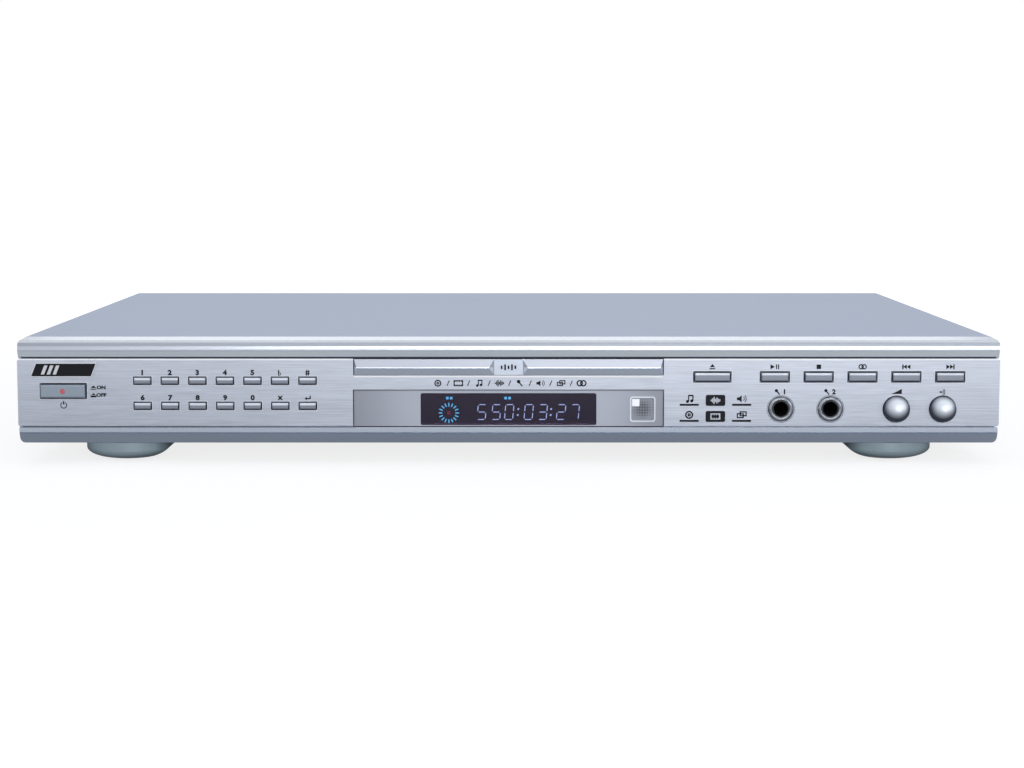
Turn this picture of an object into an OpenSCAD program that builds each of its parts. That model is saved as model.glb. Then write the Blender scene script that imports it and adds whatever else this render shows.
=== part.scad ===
/* [Case] */
// Width across the plastic front frame
case_w = 430; // [420:1:440]
// Depth from the face of the aluminium plate to the back of the rear panel
case_d = 259; // [252:1:275]
// Height of the front frame's rail below the aluminium plate
lower_rail_h = 7.6; // [7:0.1:9]
// Height of the front frame's rail above the aluminium plate
upper_rail_h = 8.6; // [8.2:0.1:10]
// Height of the front frame's lower edge above the table
foot_h = 9.4; // [8.8:0.1:11]
// Thickness of the folded steel sheet
sheet_t = 1.0; // [0.8:0.1:1.2]
// Gap between neighbouring shells
seam = 0.3; // [0.2:0.05:0.4]

/* [Front frame] */
// Depth of the front frame, front to back
frame_d = 11.2; // [10.6:0.1:11.8]
// Wall of the front frame at its top, bottom and ends
frame_wall = 2.0; // [1.6:0.1:2.4]
// Thickness of the web behind the aluminium plate
web_t = 2.0; // [1.6:0.1:2.2]
// How far the lower rail lies behind the face of the plate
rail_back = 0.4; // [0.2:0.1:0.7]
// How far the band above the plate lies behind its face
band_back = 1.0; // [0.6:0.1:1.2]
// How far the upper rail's nose stands out in front of the plate
nose_out = 0.4; // [0.2:0.1:0.6]
// Radius of the front frame's rounded top edge
top_edge_r = 2.0; // [1.6:0.1:2.4]
// Slope of the front frame's top facet, in degrees
top_lean = 3.5; // [2:0.5:5]
// Radius of the front frame's corners seen from the front
corner_r = 2.2; // [1.5:0.1:3]

/* [Aluminium plate] */
// Height of the brushed plate
plate_h = 30; // [29.8:0.1:31]
// Thickness of the brushed plate
plate_t = 1.5; // [1.2:0.1:2]
// How far the plate overhangs the frame at each end
plate_overhang = 0.3; // [0.2:0.1:0.6]
// Bevel along the plate's top and bottom edges
plate_bevel = 0.4; // [0.2:0.1:0.6]
// Height of the strip between the disc door and the display
strip_h = 6.5; // [6:0.1:6.8]

/* [Keys] */
// Width of a number key
key_w = 7.1; // [6.4:0.1:7.6]
// Height of a number key
key_h = 2.7; // [2.2:0.1:3]
// Distance between neighbouring number keys
key_pitch = 12.07; // [11.6:0.01:12.4]
// Number keys in a row
keys_in_row = 7; // [7:1:7]
// How far the number keys lie right of the middle between power button and door
key_shift = 2.3; // [2:0.1:2.6]
// Height of the upper row of number keys above the plate's lower edge
key_row_high = 20.3; // [19.8:0.1:20.8]
// Height of the lower row of number keys above the plate's lower edge
key_row_low = 9.2; // [8.6:0.1:9.8]
// Width of a transport key
transport_w = 11.8; // [11:0.1:12.4]
// Width of the eject key
eject_w = 15.4; // [14.5:0.1:16]
// Height of the transport keys
transport_h = 3.6; // [3:0.1:4]
// Distance from the eject key to the play key
eject_pitch = 27.4; // [26:0.1:28]
// How far the transport row lies left of the middle between door and case end
transport_shift = 0.85; // [0.5:0.05:1.5]
// Distance between neighbouring transport keys
transport_pitch = 19.2; // [18.6:0.1:19.6]
// Height of the transport keys above the plate's lower edge
transport_row = 22; // [21.6:0.1:22.2]
// Dark gap round each key
key_gap = 0.38; // [0.3:0.02:0.5]
// How far the keys stand out of the plate
key_proud = 0.9; // [0.6:0.1:1.4]
// Travel of a key
key_travel = 0.6; // [0.4:0.1:0.8]

/* [Power button] */
// Width of the power button
power_w = 19.4; // [18:0.1:20.5]
// Height of the power button
power_h = 5.7; // [5:0.1:6.2]
// Distance from the case's left end to the middle of the power button
power_inset = 19.8; // [18:0.1:21]
// Height of the power button above the plate's lower edge
power_row = 15.8; // [15:0.1:16.4]
// How far the power button stands out of the plate
power_proud = 2.0; // [1.6:0.1:3]
// Travel of the power button
power_travel = 3.4; // [2.5:0.1:3.6]

/* [Knobs and microphone sockets] */
// Radius of a domed knob
knob_r = 5.6; // [5.2:0.1:6]
// How far a knob stands out of the plate
knob_proud = 7.1; // [6.4:0.1:8]
// Distance from the case's right end to the microphone volume knob
knob_inset = 44.8; // [44:0.1:46]
// Distance between the two knobs
knob_pitch = 20.3; // [19:0.1:21]
// Height of knobs and microphone sockets above the plate's lower edge
socket_row = 7.8; // [7.4:0.1:8.2]
// Distance from the first microphone socket to the microphone volume knob
jack_to_knob = 50.7; // [50:0.1:52]
// Distance between the two microphone sockets
jack_pitch = 21.7; // [21:0.1:22.5]
// Radius of a microphone socket's bore
jack_bore_r = 3.25; // [3.2:0.01:3.3]
// Depth of a microphone socket's bore
jack_bore_l = 34; // [32:0.5:36]
// Radius of a microphone socket's chrome ring
jack_ring_r = 5.3; // [5.1:0.1:5.6]

/* [Display] */
// Width of the dark display window
window_w = 77; // [70:0.5:80]
// Height of the dark display window
window_h = 14; // [13:0.1:14.2]
// Width of the remote sensor's frame
sensor_w = 11.2; // [10.5:0.1:12]
// Distance from the door's right end to the middle of the remote sensor
sensor_inset = 8.8; // [8.2:0.1:9.6]

/* [Disc tray] */
// Width of the tray's door
door_w = 135.4; // [133:0.1:137]
// Height of the tray's door
door_h = 6.9; // [6.7:0.1:7.1]
// Radius of the disc recess
disc_r = 60.8; // [60.4:0.1:61.2]
// Distance from the plate's face to the disc's centre
disc_y = 72; // [71:0.5:74]
// Length of the tray behind its door
tray_l = 173; // [168:1:176]
// Travel of the tray
tray_travel = 134; // [128:1:136]
// Running gap between tray and loader
tray_gap = 0.25; // [0.2:0.01:0.3]

/* [Loader] */
// Wall of the loader's plastic frame
loader_wall = 3; // [2.4:0.1:3.4]
// Tooth size of the tray's rack and its gear, as a gear module
rack_module = 1; // [1:0.1:1]
// Teeth of the gear that drives the tray
drive_teeth = 16; // [16:1:16]
// Tooth size of the reduction gears, as a gear module
train_module = 0.8; // [0.8:0.1:0.8]
// Teeth of the large reduction gear
wheel_teeth = 36; // [36:1:36]
// Teeth of the small reduction gears
pinion_teeth = 12; // [12:1:12]
// Travel of the cam slider
cam_travel = 18; // [16:1:18]
// Travel of the optical sled
sled_travel = 34; // [30:1:35]
// Radius of the turntable
turntable_r = 15; // [14:0.5:16]

/* [Rear sockets] */
// Radius of a phono socket's barrel
phono_r = 4.15; // [4.1:0.01:4.2]
// How far a phono socket stands out of the rear panel
phono_proud = 9; // [8:0.1:10]
// Distance between neighbouring phono sockets
phono_pitch = 14; // [13:0.5:15]
// Columns of phono sockets
phono_columns = 6; // [4:1:6]

/* [Feet] */
// Radius of a front foot
front_foot_r = 20; // [18:0.5:21]
// Distance from the case's end to the middle of a front foot
foot_inset = 44.5; // [40:0.5:52]
// Radius of a rear foot
rear_foot_r = 10; // [8:0.5:12]

/* [Hidden] */
$fn = 48;
cut = 0.5;

// The front frame, from the table up
plate_z = foot_h + lower_rail_h;
plate_top = plate_z + plate_h;
case_top = plate_top + upper_rail_h;
case_h = case_top - foot_h;

// The model's origin is under the middle of everything, knobs and rear sockets included
front_y = knob_proud - (knob_proud + case_d + phono_proud) / 2;

// The steel case
cover_top = case_top - seam;
cover_w = case_w - 1;
cover_in = cover_top - sheet_t;
shell_y = frame_d + seam;
pan_z = foot_h + 1;
pan_top = pan_z + sheet_t;
pan_w = cover_w - 2 * sheet_t - 2 * seam;
pan_flange_h = 9;
rear_y = case_d - sheet_t;
rear_lip_h = 7;
cover_foot = pan_z + 0.6;

// The front frame's section
web_y = plate_t + 0.1;
web_back = web_y + web_t;
plate_w = case_w + 2 * plate_overhang;
plate_r = 1.2;

// The openings in the front, from the top of the plate down
door_zone_h = door_h + 0.45;
door_gap = 0.35;
strip_top = plate_top - door_zone_h;
strip_low = strip_top - strip_h;
door_z = plate_top - door_h - 0.25;
surround_h = strip_low - plate_z - 0.25;
surround_z = plate_z + 0.15;
surround_w = door_w + 0.2;
window_z = surround_z + surround_h / 2 - 0.45;
web_window_w = surround_w - 8;
web_window_h = window_h + 1;

// Places along the front: the power button and the feet from the case's ends, the number keys between
// power button and door, the transport row between door and case end, the rest from their neighbours
power_x = -case_w / 2 + power_inset;
key_x = (power_x + power_w / 2 - door_w / 2) / 2 + key_shift - (keys_in_row - 1) / 2 * key_pitch;
transport_names = ["play_key", "stop_key", "channel_key", "previous_key", "next_key"];
transport_row_w = eject_w / 2 + eject_pitch + (len(transport_names) - 1) * transport_pitch + transport_w / 2;
eject_x = (door_w + case_w) / 4 - transport_shift - transport_row_w / 2 + eject_w / 2;
transport_x = eject_x + eject_pitch;
knob_x = case_w / 2 - knob_inset;
jack_x = knob_x - jack_to_knob;
sensor_x = door_w / 2 - sensor_inset;
front_foot_x = case_w / 2 - foot_inset;

// Keys, behind the front: flange, stem, switch, board
flange_y = web_back + 0.15;
flange_t = 1;
stem_r = 1.2;
switch_w = 6;
switch_t = 3.2;
plunger_r = 1.6;
plunger_l = 1.7;
// How far the plunger shows in front of its switch
plunger_out = 0.7;
board_t = 1.6;
board_y = 12.4;
switch_y = board_y - switch_t;
stem_end = switch_y - plunger_out;

number_names = [
    ["key_1", "key_2", "key_3", "key_4", "key_5", "key_flat", "key_sharp"],
    ["key_6", "key_7", "key_8", "key_9", "key_0", "key_cancel", "key_enter"]
];
number_rows = [plate_z + key_row_high, plate_z + key_row_low];
transport_z = plate_z + transport_row;
power_z = plate_z + power_row;
socket_z = plate_z + socket_row;

// The disc tray, from its bottom up
tray_w = door_w - 1.4;
tray_z = door_z + 0.1;
tray_top = tray_z + 6.3;
tray_floor_t = 1.2;
recess_z = tray_top - 2.6;
tray_under = recess_z - tray_floor_t;
tray_y = 2.8;
tray_end = tray_y + tray_l;
slot_w = 42;
rack_h = tray_under - tray_z;

// The loader's frame and its gear deck
loader_w = tray_w + 2 * tray_gap + 2 * loader_wall;
loader_y = 15.5;
loader_end = tray_end + 6;
ledge_w = 5;
ledge_t = 2;
ledge_z = tray_z - tray_gap;
loader_top = tray_top + 2.0;
loader_floor = pan_top + 0.8;
deck_t = 1.5;
gear_clear = 0.3;
wheel_t = 2.2;
post_r = 1.5;
post_gap = 0.06;

drive_r = rack_module * drive_teeth / 2;
wheel_r = train_module * wheel_teeth / 2;
pinion_r = train_module * pinion_teeth / 2;
drive_gear_top = tray_under - 0.25;
pulley_top = tray_z - 0.4;
pulley_t = 1.8;
wheel_top = pulley_top - pulley_t - 0.3;
wheel_z = wheel_top - wheel_t;
deck_top = wheel_z - gear_clear;
deck_z = deck_top - deck_t;
rack_x = -54;
drive_x = rack_x + drive_r;
drive_y = 33.5;
train_angle = -14;
pulley_x = drive_x + (wheel_r + pinion_r) * cos(train_angle);
pulley_y = drive_y + (wheel_r + pinion_r) * sin(train_angle);
pulley_r = 9;
motor_x = 0;
motor_y = 26.6;
motor_r = 9.6;
motor_h = 12;
motor_pulley_r = 2.6;
belt_w = 1.1;
groove = 0.6;
rack_teeth = floor((tray_travel + 8) / (PI * rack_module));

// The cam slider and its guide wall
cam_wall_y = motor_y + motor_r + 0.7;
cam_wall_t = 1.8;
cam_y = cam_wall_y + cam_wall_t + 0.2;
cam_t = 2.5;
cam_pin_r = 1.5;
cam_slot_r = 1.7;

// The traverse: hinge at the back, turntable towards the front
turntable_y = disc_y;
hinge_back = 92;
hinge_y = disc_y + hinge_back;
traverse_z = tray_z - 8.9;
traverse_t = 3;
traverse_top = traverse_z + traverse_t;
traverse_front = cam_y + cam_t + 1.6;
traverse_left = -27;
traverse_right = 36;
traverse_angle = 5;
hinge_z = traverse_z + traverse_t / 2;
hinge_pin_r = 2;
hinge_pin_l = 6;
cam_pin_z = traverse_z + 0.3;
cam_drop = (hinge_y - cam_y) * sin(traverse_angle);
hub_top = recess_z + 3.4;
disc_plane = recess_z + 1;
spindle_r = 12;
spindle_h = 9;
rail_x = 16;
rail_r = 1.5;
rail_z = traverse_top + 2.4;
rail_y0 = turntable_y + turntable_r + 1;
rail_y1 = hinge_y - 8;
sled_w = 2 * rail_x + 8;
sled_l = 27;
sled_y0 = rail_y0 + 2.6;
lens_y = sled_y0 + 5;
sled_z = rail_z - 3.2;
sled_top = tray_z + 0.2;
lens_r = 2.6;
sled_rack_x = sled_w / 2 + 1.6;
sled_rack_y0 = sled_y0;
sled_pinion_x = sled_rack_x + pinion_r;
sled_pinion_y = sled_y0 + sled_travel + 4;
sled_gear_t = 2.4;
sled_gear_z = traverse_top + 1.6;

// The clamp above the tray
bridge_z = loader_top;
bridge_t = 1.2;
bridge_l = 46;
puck_hole_r = 15;
puck_r = 14.2;
puck_flange_r = 17;

// Boards inside the case: their ends across it, and their front and rear edges
low_board_z = pan_top + 4.6;
mic_board_top = socket_z - 8.1;
board_inset = 8;
boards_rear_y = rear_y - 9.5;
power_board_x = [-case_w / 2 + 11, -loader_w / 2 - 15.75];
power_board_y = case_d - 130;
main_board_x = [loader_w / 2 + 17.75, case_w / 2 - 11];
main_board_y = [62, loader_end - 3.8];
output_board_x = [-18, case_w / 2 - 11];
output_board_y = loader_end + 12.2;
mic_board_x = [jack_x - 16.2, case_w / 2 - 10];
mic_board_end = 50;
pot_r = 8;
shaft_r = 3;
jack_body_w = 15.6;
jack_body_h = 15.5;
ribbon_x = main_board_x[0] + 2;
ribbon_w = 14;
ribbon_y = main_board_y[1] - 28;
// The ribbon passes over the microphone sockets' bodies
ribbon_z = mic_board_top + jack_body_h + 4.8;
phono_x = 30;
phono_low_z = pan_top + 14.5;
phono_collar = 0.4;
inlet_x = power_board_x[0] + 26;
inlet_z = pan_top + 16;
inlet_w = 23;
inlet_h = 11;

// Fasteners
screw_r = 1.5;
head_r = 2.9;
head_t = 1.6;
screw_l = 6;

// Feet
front_foot_y = front_foot_r + 4.5;
rear_foot_y = case_d - 34;
rear_foot_x = front_foot_x;
pad_t = 1.2;
pad_proud = 0.4;
pad_r = 6;
foot_seat_z = pad_t + head_t + 0.9;

function arc(cx, cy, r, a0, a1, n) = [
    for (i = [0:n]) let (a = a0 + (a1 - a0) * i / n) [cx + r * cos(a), cy + r * sin(a)]
];
function involute(a) = tan(a) - a * PI / 180;
// Half the angle of an involute tooth at radius rho, in degrees
function half_tooth(teeth, r, rho, slack) =
    (PI / 2 / teeth - slack / r + involute(20) - involute(acos(min(1, r * cos(20) / rho)))) * 180 / PI;
function polar(r, a) = [r * cos(a), r * sin(a)];
function gear_points(teeth, m, slack = 0.06) =
    let (
        r = m * teeth / 2,
        base = r * cos(20),
        root = r - 1.25 * m,
        tip = r + 0.92 * m,
        steps = 4,
        radii = [root, for (i = [0:steps]) base + 0.001 + (tip - base) * i / steps]
    )
    [
        for (t = [0:teeth - 1])
            for (side = [-1, 1])
                for (k = [0:steps + 1])
                    let (rho = radii[side < 0 ? k : steps + 1 - k])
                        polar(rho, t * 360 / teeth
                            + side * half_tooth(teeth, r, max(rho, base + 0.001), slack))
    ];
// Rack teeth along +Y that stick out to +X from the pitch line at x = 0
function rack_points(teeth, m, back, slack = 0.06) =
    let (p = PI * m, a = 0.9 * m, d = 1.2 * m, half = p / 4 - slack)
    [
        [-back, 0],
        for (t = [0:teeth - 1])
            let (y = (t + 0.5) * p)
                each [
                    [-d, y - half - d * tan(20)],
                    [a, y - half + a * tan(20)],
                    [a, y + half - a * tan(20)],
                    [-d, y + half + d * tan(20)]
                ],
        [-back, teeth * p]
    ];

// Draws in panel coordinates: y = 0 is the face of the aluminium plate, and y grows to the back
module in_case() {
    translate([0, front_y, 0]) children();
}
module round_rect(w, h, r) {
    translate([r, 0]) square([w - 2 * r, h]);
    translate([0, r]) square([w, h - 2 * r]);
    for (x = [r, w - r])
        for (y = [r, h - r])
            translate([x, y]) circle(r);
}
// A rounded plate that stands upright: centred on x, from z up, t thick behind y
module upright(x, z, w, h, r, y, t) {
    translate([x - w / 2, y + t, z]) rotate([90, 0, 0]) linear_extrude(t) round_rect(w, h, r);
}
// Extrudes a (y, z) outline along X, centred
module along_x(w) {
    translate([-w / 2, 0, 0]) rotate([90, 0, 90]) linear_extrude(w) children();
}
module rod_y(x, z, r, y, l, sides = 48) {
    translate([x, y + l, z]) rotate([90, 0, 0]) cylinder(r = r, h = l, $fn = sides);
}
module rod_x(x, y, z, r, l) {
    translate([x, y, z]) rotate([0, 90, 0]) cylinder(r = r, h = l);
}
module box(x0, x1, y0, y1, z0, z1) {
    translate([x0, y0, z0]) cube([x1 - x0, y1 - y0, z1 - z0]);
}
module gear(teeth, m, z, t) {
    translate([0, 0, z]) linear_extrude(t) polygon(gear_points(teeth, m));
}
// Screw with its head's underside at the origin and its shank along -Z
module screw(l = screw_l) {
    difference() {
        cylinder(r = head_r, h = head_t);
        for (a = [0, 90])
            rotate([0, 0, a]) translate([-head_r * 0.6, -0.35, head_t - 0.9]) cube([head_r * 1.2, 0.7, 2]);
    }
    translate([0, 0, -l]) cylinder(r = screw_r, h = l);
}

// Places of the screws, shared by the screws and the holes that they pass through
side_screw_y = [for (f = [0.22, 0.82]) shell_y + (case_d - shell_y) * f];
side_screw_z = pan_z + 6;
lip_screw_x = [-case_w * 0.4, 0, case_w * 0.4];
lip_screw_z = cover_in - 2.6;
rear_screw_x = [-case_w * 0.36, case_w * 0.02, case_w * 0.36];
rear_flange_y = rear_y - 5;

module top_cover() {
    side_h = cover_top - cover_foot;
    side_l = case_d + seam + sheet_t - shell_y;
    color("lightsteelblue") difference() {
        union() {
            box(-cover_w / 2, cover_w / 2, shell_y, shell_y + side_l, cover_in, cover_top);
            for (side = [-1, 1])
                translate([side * (cover_w / 2 - sheet_t / 2) - sheet_t / 2, shell_y, cover_foot])
                    cube([sheet_t, side_l, side_h]);
            box(-cover_w / 2, cover_w / 2, shell_y + side_l - sheet_t, shell_y + side_l,
                cover_top - rear_lip_h, cover_top);
        }
        side_vents();
        for (side = [-1, 1])
            for (y = side_screw_y)
                rod_x(side * cover_w / 2 - 2, y, side_screw_z, screw_r + 0.15, 4);
        for (x = lip_screw_x)
            rod_y(x, lip_screw_z, screw_r + 0.15, case_d, 3);
    }
}
// Two groups of upright slots in each side of the cover
module side_vents() {
    vent_h = 17;
    vent_pitch = 6;
    vents = 9;
    for (side = [-1, 1])
        for (group = [0.4, 0.6])
            for (i = [0:vents - 1])
                translate([
                    side * cover_w / 2 - 2,
                    case_d * group + (group < 0.5 ? -1 : 0) * vents * vent_pitch / 2 + i * vent_pitch,
                    cover_top - 13 - vent_h
                ])
                    cube([4, 2.2, vent_h]);
}

right_board_screw_x = main_board_x[1] - board_inset;
standoffs = concat(
    [
        for (x = [power_board_x[0] + board_inset, power_board_x[1] - board_inset])
            for (y = [power_board_y + board_inset, case_d - 24])
                [x, y]
    ],
    [
        [main_board_x[0] + board_inset, main_board_y[0] + board_inset],
        [right_board_screw_x, main_board_y[0] + board_inset],
        [main_board_x[0] + 3 * board_inset, main_board_y[1] - board_inset - 2],
        [right_board_screw_x, main_board_y[1] - board_inset - 2],
        [output_board_x[0] + board_inset, output_board_y + board_inset],
        [right_board_screw_x, output_board_y + board_inset]
    ]
);
mic_standoffs = [for (x = [mic_board_x[0] + 4, mic_board_x[1] - 4]) [x, mic_board_end - 6]];
loader_ears = [
    for (side = [-1, 1]) for (y = [loader_y + 8, loader_end - 10]) [side * (loader_w / 2 + 5), y]
];
foot_centres = [
    for (side = [-1, 1]) for (front = [true, false])
        [side * (front ? front_foot_x : rear_foot_x), front ? front_foot_y : rear_foot_y, front]
];

module chassis_pan() {
    pan_end = rear_y - seam;
    color("silver") difference() {
        union() {
            box(-pan_w / 2, pan_w / 2, shell_y, pan_end, pan_z, pan_top);
            for (side = [-1, 1])
                translate([side * (pan_w / 2 - sheet_t / 2) - sheet_t / 2, shell_y, pan_z])
                    cube([sheet_t, pan_end - shell_y, pan_flange_h]);
            box(-pan_w / 2 + 4, pan_w / 2 - 4, shell_y, shell_y + sheet_t,
                pan_z, mic_board_top - board_t - 0.5);
            for (p = standoffs)
                pan_post(p, 3, low_board_z);
            for (p = mic_standoffs)
                pan_post(p, 3, mic_board_top - board_t);
            for (p = loader_ears)
                pan_post(p, 4, loader_floor);
        }
        for (p = concat(standoffs, mic_standoffs, loader_ears))
            translate([p[0], p[1], pan_z - 1]) cylinder(r = screw_r + 0.05, h = 12);
        for (p = foot_centres)
            translate([p[0], p[1], pan_z - 1]) cylinder(r = screw_r + 0.05, h = 4);
        for (side = [-1, 1])
            for (y = side_screw_y)
                rod_x(side * pan_w / 2 - 2, y, side_screw_z, screw_r + 0.05, 4);
        for (x = rear_screw_x)
            translate([x, rear_flange_y, pan_z - 1]) cylinder(r = screw_r + 0.15, h = 4);
        pan_vents();
    }
}
// A round post on the pan's floor, up to height top
module pan_post(p, r, top) {
    translate([p[0], p[1], pan_top - 0.1]) cylinder(r = r, h = top - pan_top + 0.1);
}
// Two groups of slots across the pan's floor
module pan_vents() {
    slot_l = 56;
    slot_pitch = 6;
    group_x = case_w / 2 - 70;
    for (side = [-1, 1])
        for (i = [0:7])
            translate([side * group_x - slot_l / 2, 118 + i * slot_pitch, pan_z - 1]) cube([slot_l, 2.2, 3]);
}

module rear_panel() {
    color("silver") difference() {
        union() {
            box(-pan_w / 2, pan_w / 2, rear_y, case_d, pan_z, cover_in - seam);
            box(-pan_w / 2 + 6, pan_w / 2 - 6, rear_y - 9, rear_y + 0.1,
                pan_top + 0.1, pan_top + 0.1 + sheet_t);
        }
        for (c = [0:phono_columns - 1])
            for (row = [0, 1])
                rod_y(phono_x + c * phono_pitch, phono_low_z + row * phono_pitch,
                    phono_r + phono_collar + 0.2, rear_y - 2, 4);
        box(inlet_x - inlet_w / 2 - 0.3, inlet_x + inlet_w / 2 + 0.3, rear_y - 2, case_d + 2,
            inlet_z - inlet_h / 2 - 0.3, inlet_z + inlet_h / 2 + 0.3);
        for (x = lip_screw_x)
            rod_y(x, lip_screw_z, screw_r + 0.05, rear_y - 2, 4);
        for (x = rear_screw_x)
            translate([x, rear_flange_y, pan_top - 1]) cylinder(r = screw_r + 0.05, h = 4);
        rear_vents();
    }
}
// Upright slots in the rear panel behind the power board
module rear_vents() {
    for (i = [0:13])
        translate([inlet_x + 38 + i * 6, rear_y - 1, pan_top + 12]) cube([2.2, 3, 20]);
}

// Outline of the front frame's section, as (y, z) points
groove_z = plate_z - 2.9;
low_edge_r = 0.9;
low_edge_y = rail_back + 2.0;
// Height of the nose: its arc meets the upright face and the sloping top facet
nose_z = case_top - (top_edge_r + (frame_d - top_edge_r) * sin(top_lean)) / cos(top_lean);
bezel_outline = concat(
    [[frame_d, foot_h]],
    arc(low_edge_y + low_edge_r, foot_h + low_edge_r, low_edge_r, 270, 190, 6),
    [
        [rail_back + 0.1, groove_z - 0.3],
        [rail_back + 0.5, groove_z],
        [rail_back, groove_z + 0.3],
        [rail_back, plate_z - 0.6],
        [rail_back + 0.25, plate_z - 0.35],
        [web_y, plate_z - 0.35],
        [web_y, plate_top + 0.3],
        [band_back, plate_top + 0.3],
        [band_back - 0.2, plate_top + 0.6],
        [-nose_out, nose_z - 2.3]
    ],
    arc(top_edge_r, nose_z, top_edge_r, 180, 90 + top_lean, 14),
    [[frame_d, case_top]]
);

// Screw bosses of the front board: above and below the keys
boss_high = plate_z + 27.4;
boss_low = plate_z + 3;
boss_places = [
    [-case_w / 2 + 10, boss_high], [power_x + 17.2, boss_low],
    [-door_w / 2 - 7.3, boss_high], [-door_w / 2 - 7.3, boss_low],
    [door_w / 2 + 8.3, boss_high], [door_w / 2 + 8.3, boss_low], [case_w / 2 - 11, boss_high]
];

module front_bezel() {
    // Up to the board, behind the web
    boss_l = board_y - 0.15 - web_back;
    color("lightslategray") intersection() {
        difference() {
            union() {
                difference() {
                    along_x(case_w) polygon(bezel_outline);
                    box(-case_w / 2 + frame_wall, case_w / 2 - frame_wall, web_back, frame_d + cut,
                        foot_h + frame_wall, case_top - frame_wall - 0.4);
                }
                for (p = boss_places)
                    rod_y(p[0], p[1], 2.2, web_back - 0.1, boss_l + 0.1);
            }
            key_openings(key_gap, web_y - 1, web_t + 2);
            for (i = [0, 1]) {
                rod_y(jack_x + i * jack_pitch, socket_z, 4.6, web_y - 1, web_t + 2);
                rod_y(knob_x + i * knob_pitch, socket_z, knob_r + 0.5, web_y - 1, web_t + 2);
            }
            for (p = boss_places)
                rod_y(p[0], p[1], 0.9, board_y - 5, 6);
            // The slot that the disc tray passes through
            box(-door_w / 2 - door_gap, door_w / 2 + door_gap, web_y - 1, frame_d + 1,
                strip_top - 0.2, plate_top + 0.1);
            // The opening behind the display
            box(-web_window_w / 2 - 0.2, web_window_w / 2 + 0.2, web_y - 1, web_back + 1,
                window_z - web_window_h / 2 - 0.2, window_z + web_window_h / 2 + 0.2);
        }
        upright(0, foot_h, case_w, case_h, corner_r, -2, frame_d + 4);
    }
}
// A key's hole: centred on x and z, gap wider than the key all round, from y back over l
module key_opening(x, z, w, h, gap, r, y, l) {
    upright(x, z - h / 2 - gap, w + 2 * gap, h + 2 * gap, r, y, l);
}
// The keys' holes: numbers, transport and power
module key_openings(gap, y, l) {
    for (z = number_rows)
        for (i = [0:keys_in_row - 1])
            key_opening(key_x + i * key_pitch, z, key_w, key_h, gap, 0.4, y, l);
    for (i = [0:len(transport_names) - 1])
        key_opening(transport_x + i * transport_pitch, transport_z, transport_w, transport_h, gap, 0.5,
            y, l);
    key_opening(eject_x, transport_z, eject_w, transport_h, gap, 0.5, y, l);
    key_opening(power_x, power_z, power_w, power_h, gap, 0.5, y, l);
}

module front_plate() {
    color("gainsboro") intersection() {
        difference() {
            along_x(plate_w) polygon([
                [plate_bevel, plate_z], [plate_t, plate_z], [plate_t, plate_top], [plate_bevel, plate_top],
                [0, plate_top - plate_bevel], [0, plate_z + plate_bevel]
            ]);
            key_openings(key_gap, -1, plate_t + 2);
            for (i = [0, 1]) {
                rod_y(jack_x + i * jack_pitch, socket_z, jack_ring_r + 0.35, -1, plate_t + 2);
                rod_y(knob_x + i * knob_pitch, socket_z, knob_r + 0.4, -1, plate_t + 2);
            }
            box(-door_w / 2 - door_gap, door_w / 2 + door_gap, -1, plate_t + 1, strip_top, plate_top + 1);
            box(-surround_w / 2 - 0.15, surround_w / 2 + 0.15, -1, plate_t + 1, plate_z - 1, strip_low);
        }
        upright(0, plate_z, plate_w, plate_h, plate_r, -1, plate_t + 2);
    }
}

module display_surround() {
    face_y = 0.5;
    rim_t = 0.6;
    sensor_in = sensor_w - 2 * rim_t;
    color("darkgray") difference() {
        union() {
            upright(0, surround_z, surround_w, surround_h, 0.3, face_y, web_y - face_y - 0.05);
            upright(0, window_z - web_window_h / 2, web_window_w, web_window_h, 0.3,
                web_y - 0.1, web_t + 0.1);
            upright(sensor_x, window_z - sensor_w / 2, sensor_w, sensor_w, 1.2, face_y - 0.4, 1);
        }
        upright(0, window_z - window_h / 2 - 0.1, window_w + 0.2, window_h + 0.2, 0.9,
            face_y - 1, web_back + 2);
        upright(sensor_x, window_z - sensor_in / 2, sensor_in, sensor_in, 0.8, face_y - 1, web_back + 2);
    }
}
module display_window() {
    flange = 0.5;
    color("indigo") {
        upright(0, window_z - window_h / 2, window_w, window_h, 0.8, 0.7, web_back - 0.7 + 0.15);
        upright(0, window_z - window_h / 2 - flange, window_w + 2 * flange, window_h + 2 * flange, 1,
            web_back + 0.1, 0.7);
    }
}
module sensor_window() {
    lens_w = sensor_w - 1.4;
    color("dimgray") {
        upright(sensor_x, window_z - lens_w / 2, lens_w, lens_w, 0.7, 0.7, web_back - 0.7 + 0.15);
        upright(sensor_x, window_z - lens_w / 2 - 0.6, lens_w + 1.2, lens_w + 1.2, 0.8, web_back + 0.1, 0.7);
    }
}

// A cap with softly rounded front edges: centred on x and z, from y = -proud back
module pillow(w, h, proud, l, r) {
    intersection() {
        along_x(w) polygon(concat(
            arc(r - proud, -h / 2 + r, r, 270, 180, 4),
            arc(r - proud, h / 2 - r, r, 180, 90, 4),
            [[l - proud, h / 2], [l - proud, -h / 2]]
        ));
        translate([0, 0, -h]) linear_extrude(2 * h) polygon(concat(
            arc(-w / 2 + r, r - proud, r, 180, 270, 4),
            arc(w / 2 - r, r - proud, r, 270, 360, 4),
            [[w / 2, l - proud], [-w / 2, l - proud]]
        ));
    }
}
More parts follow.
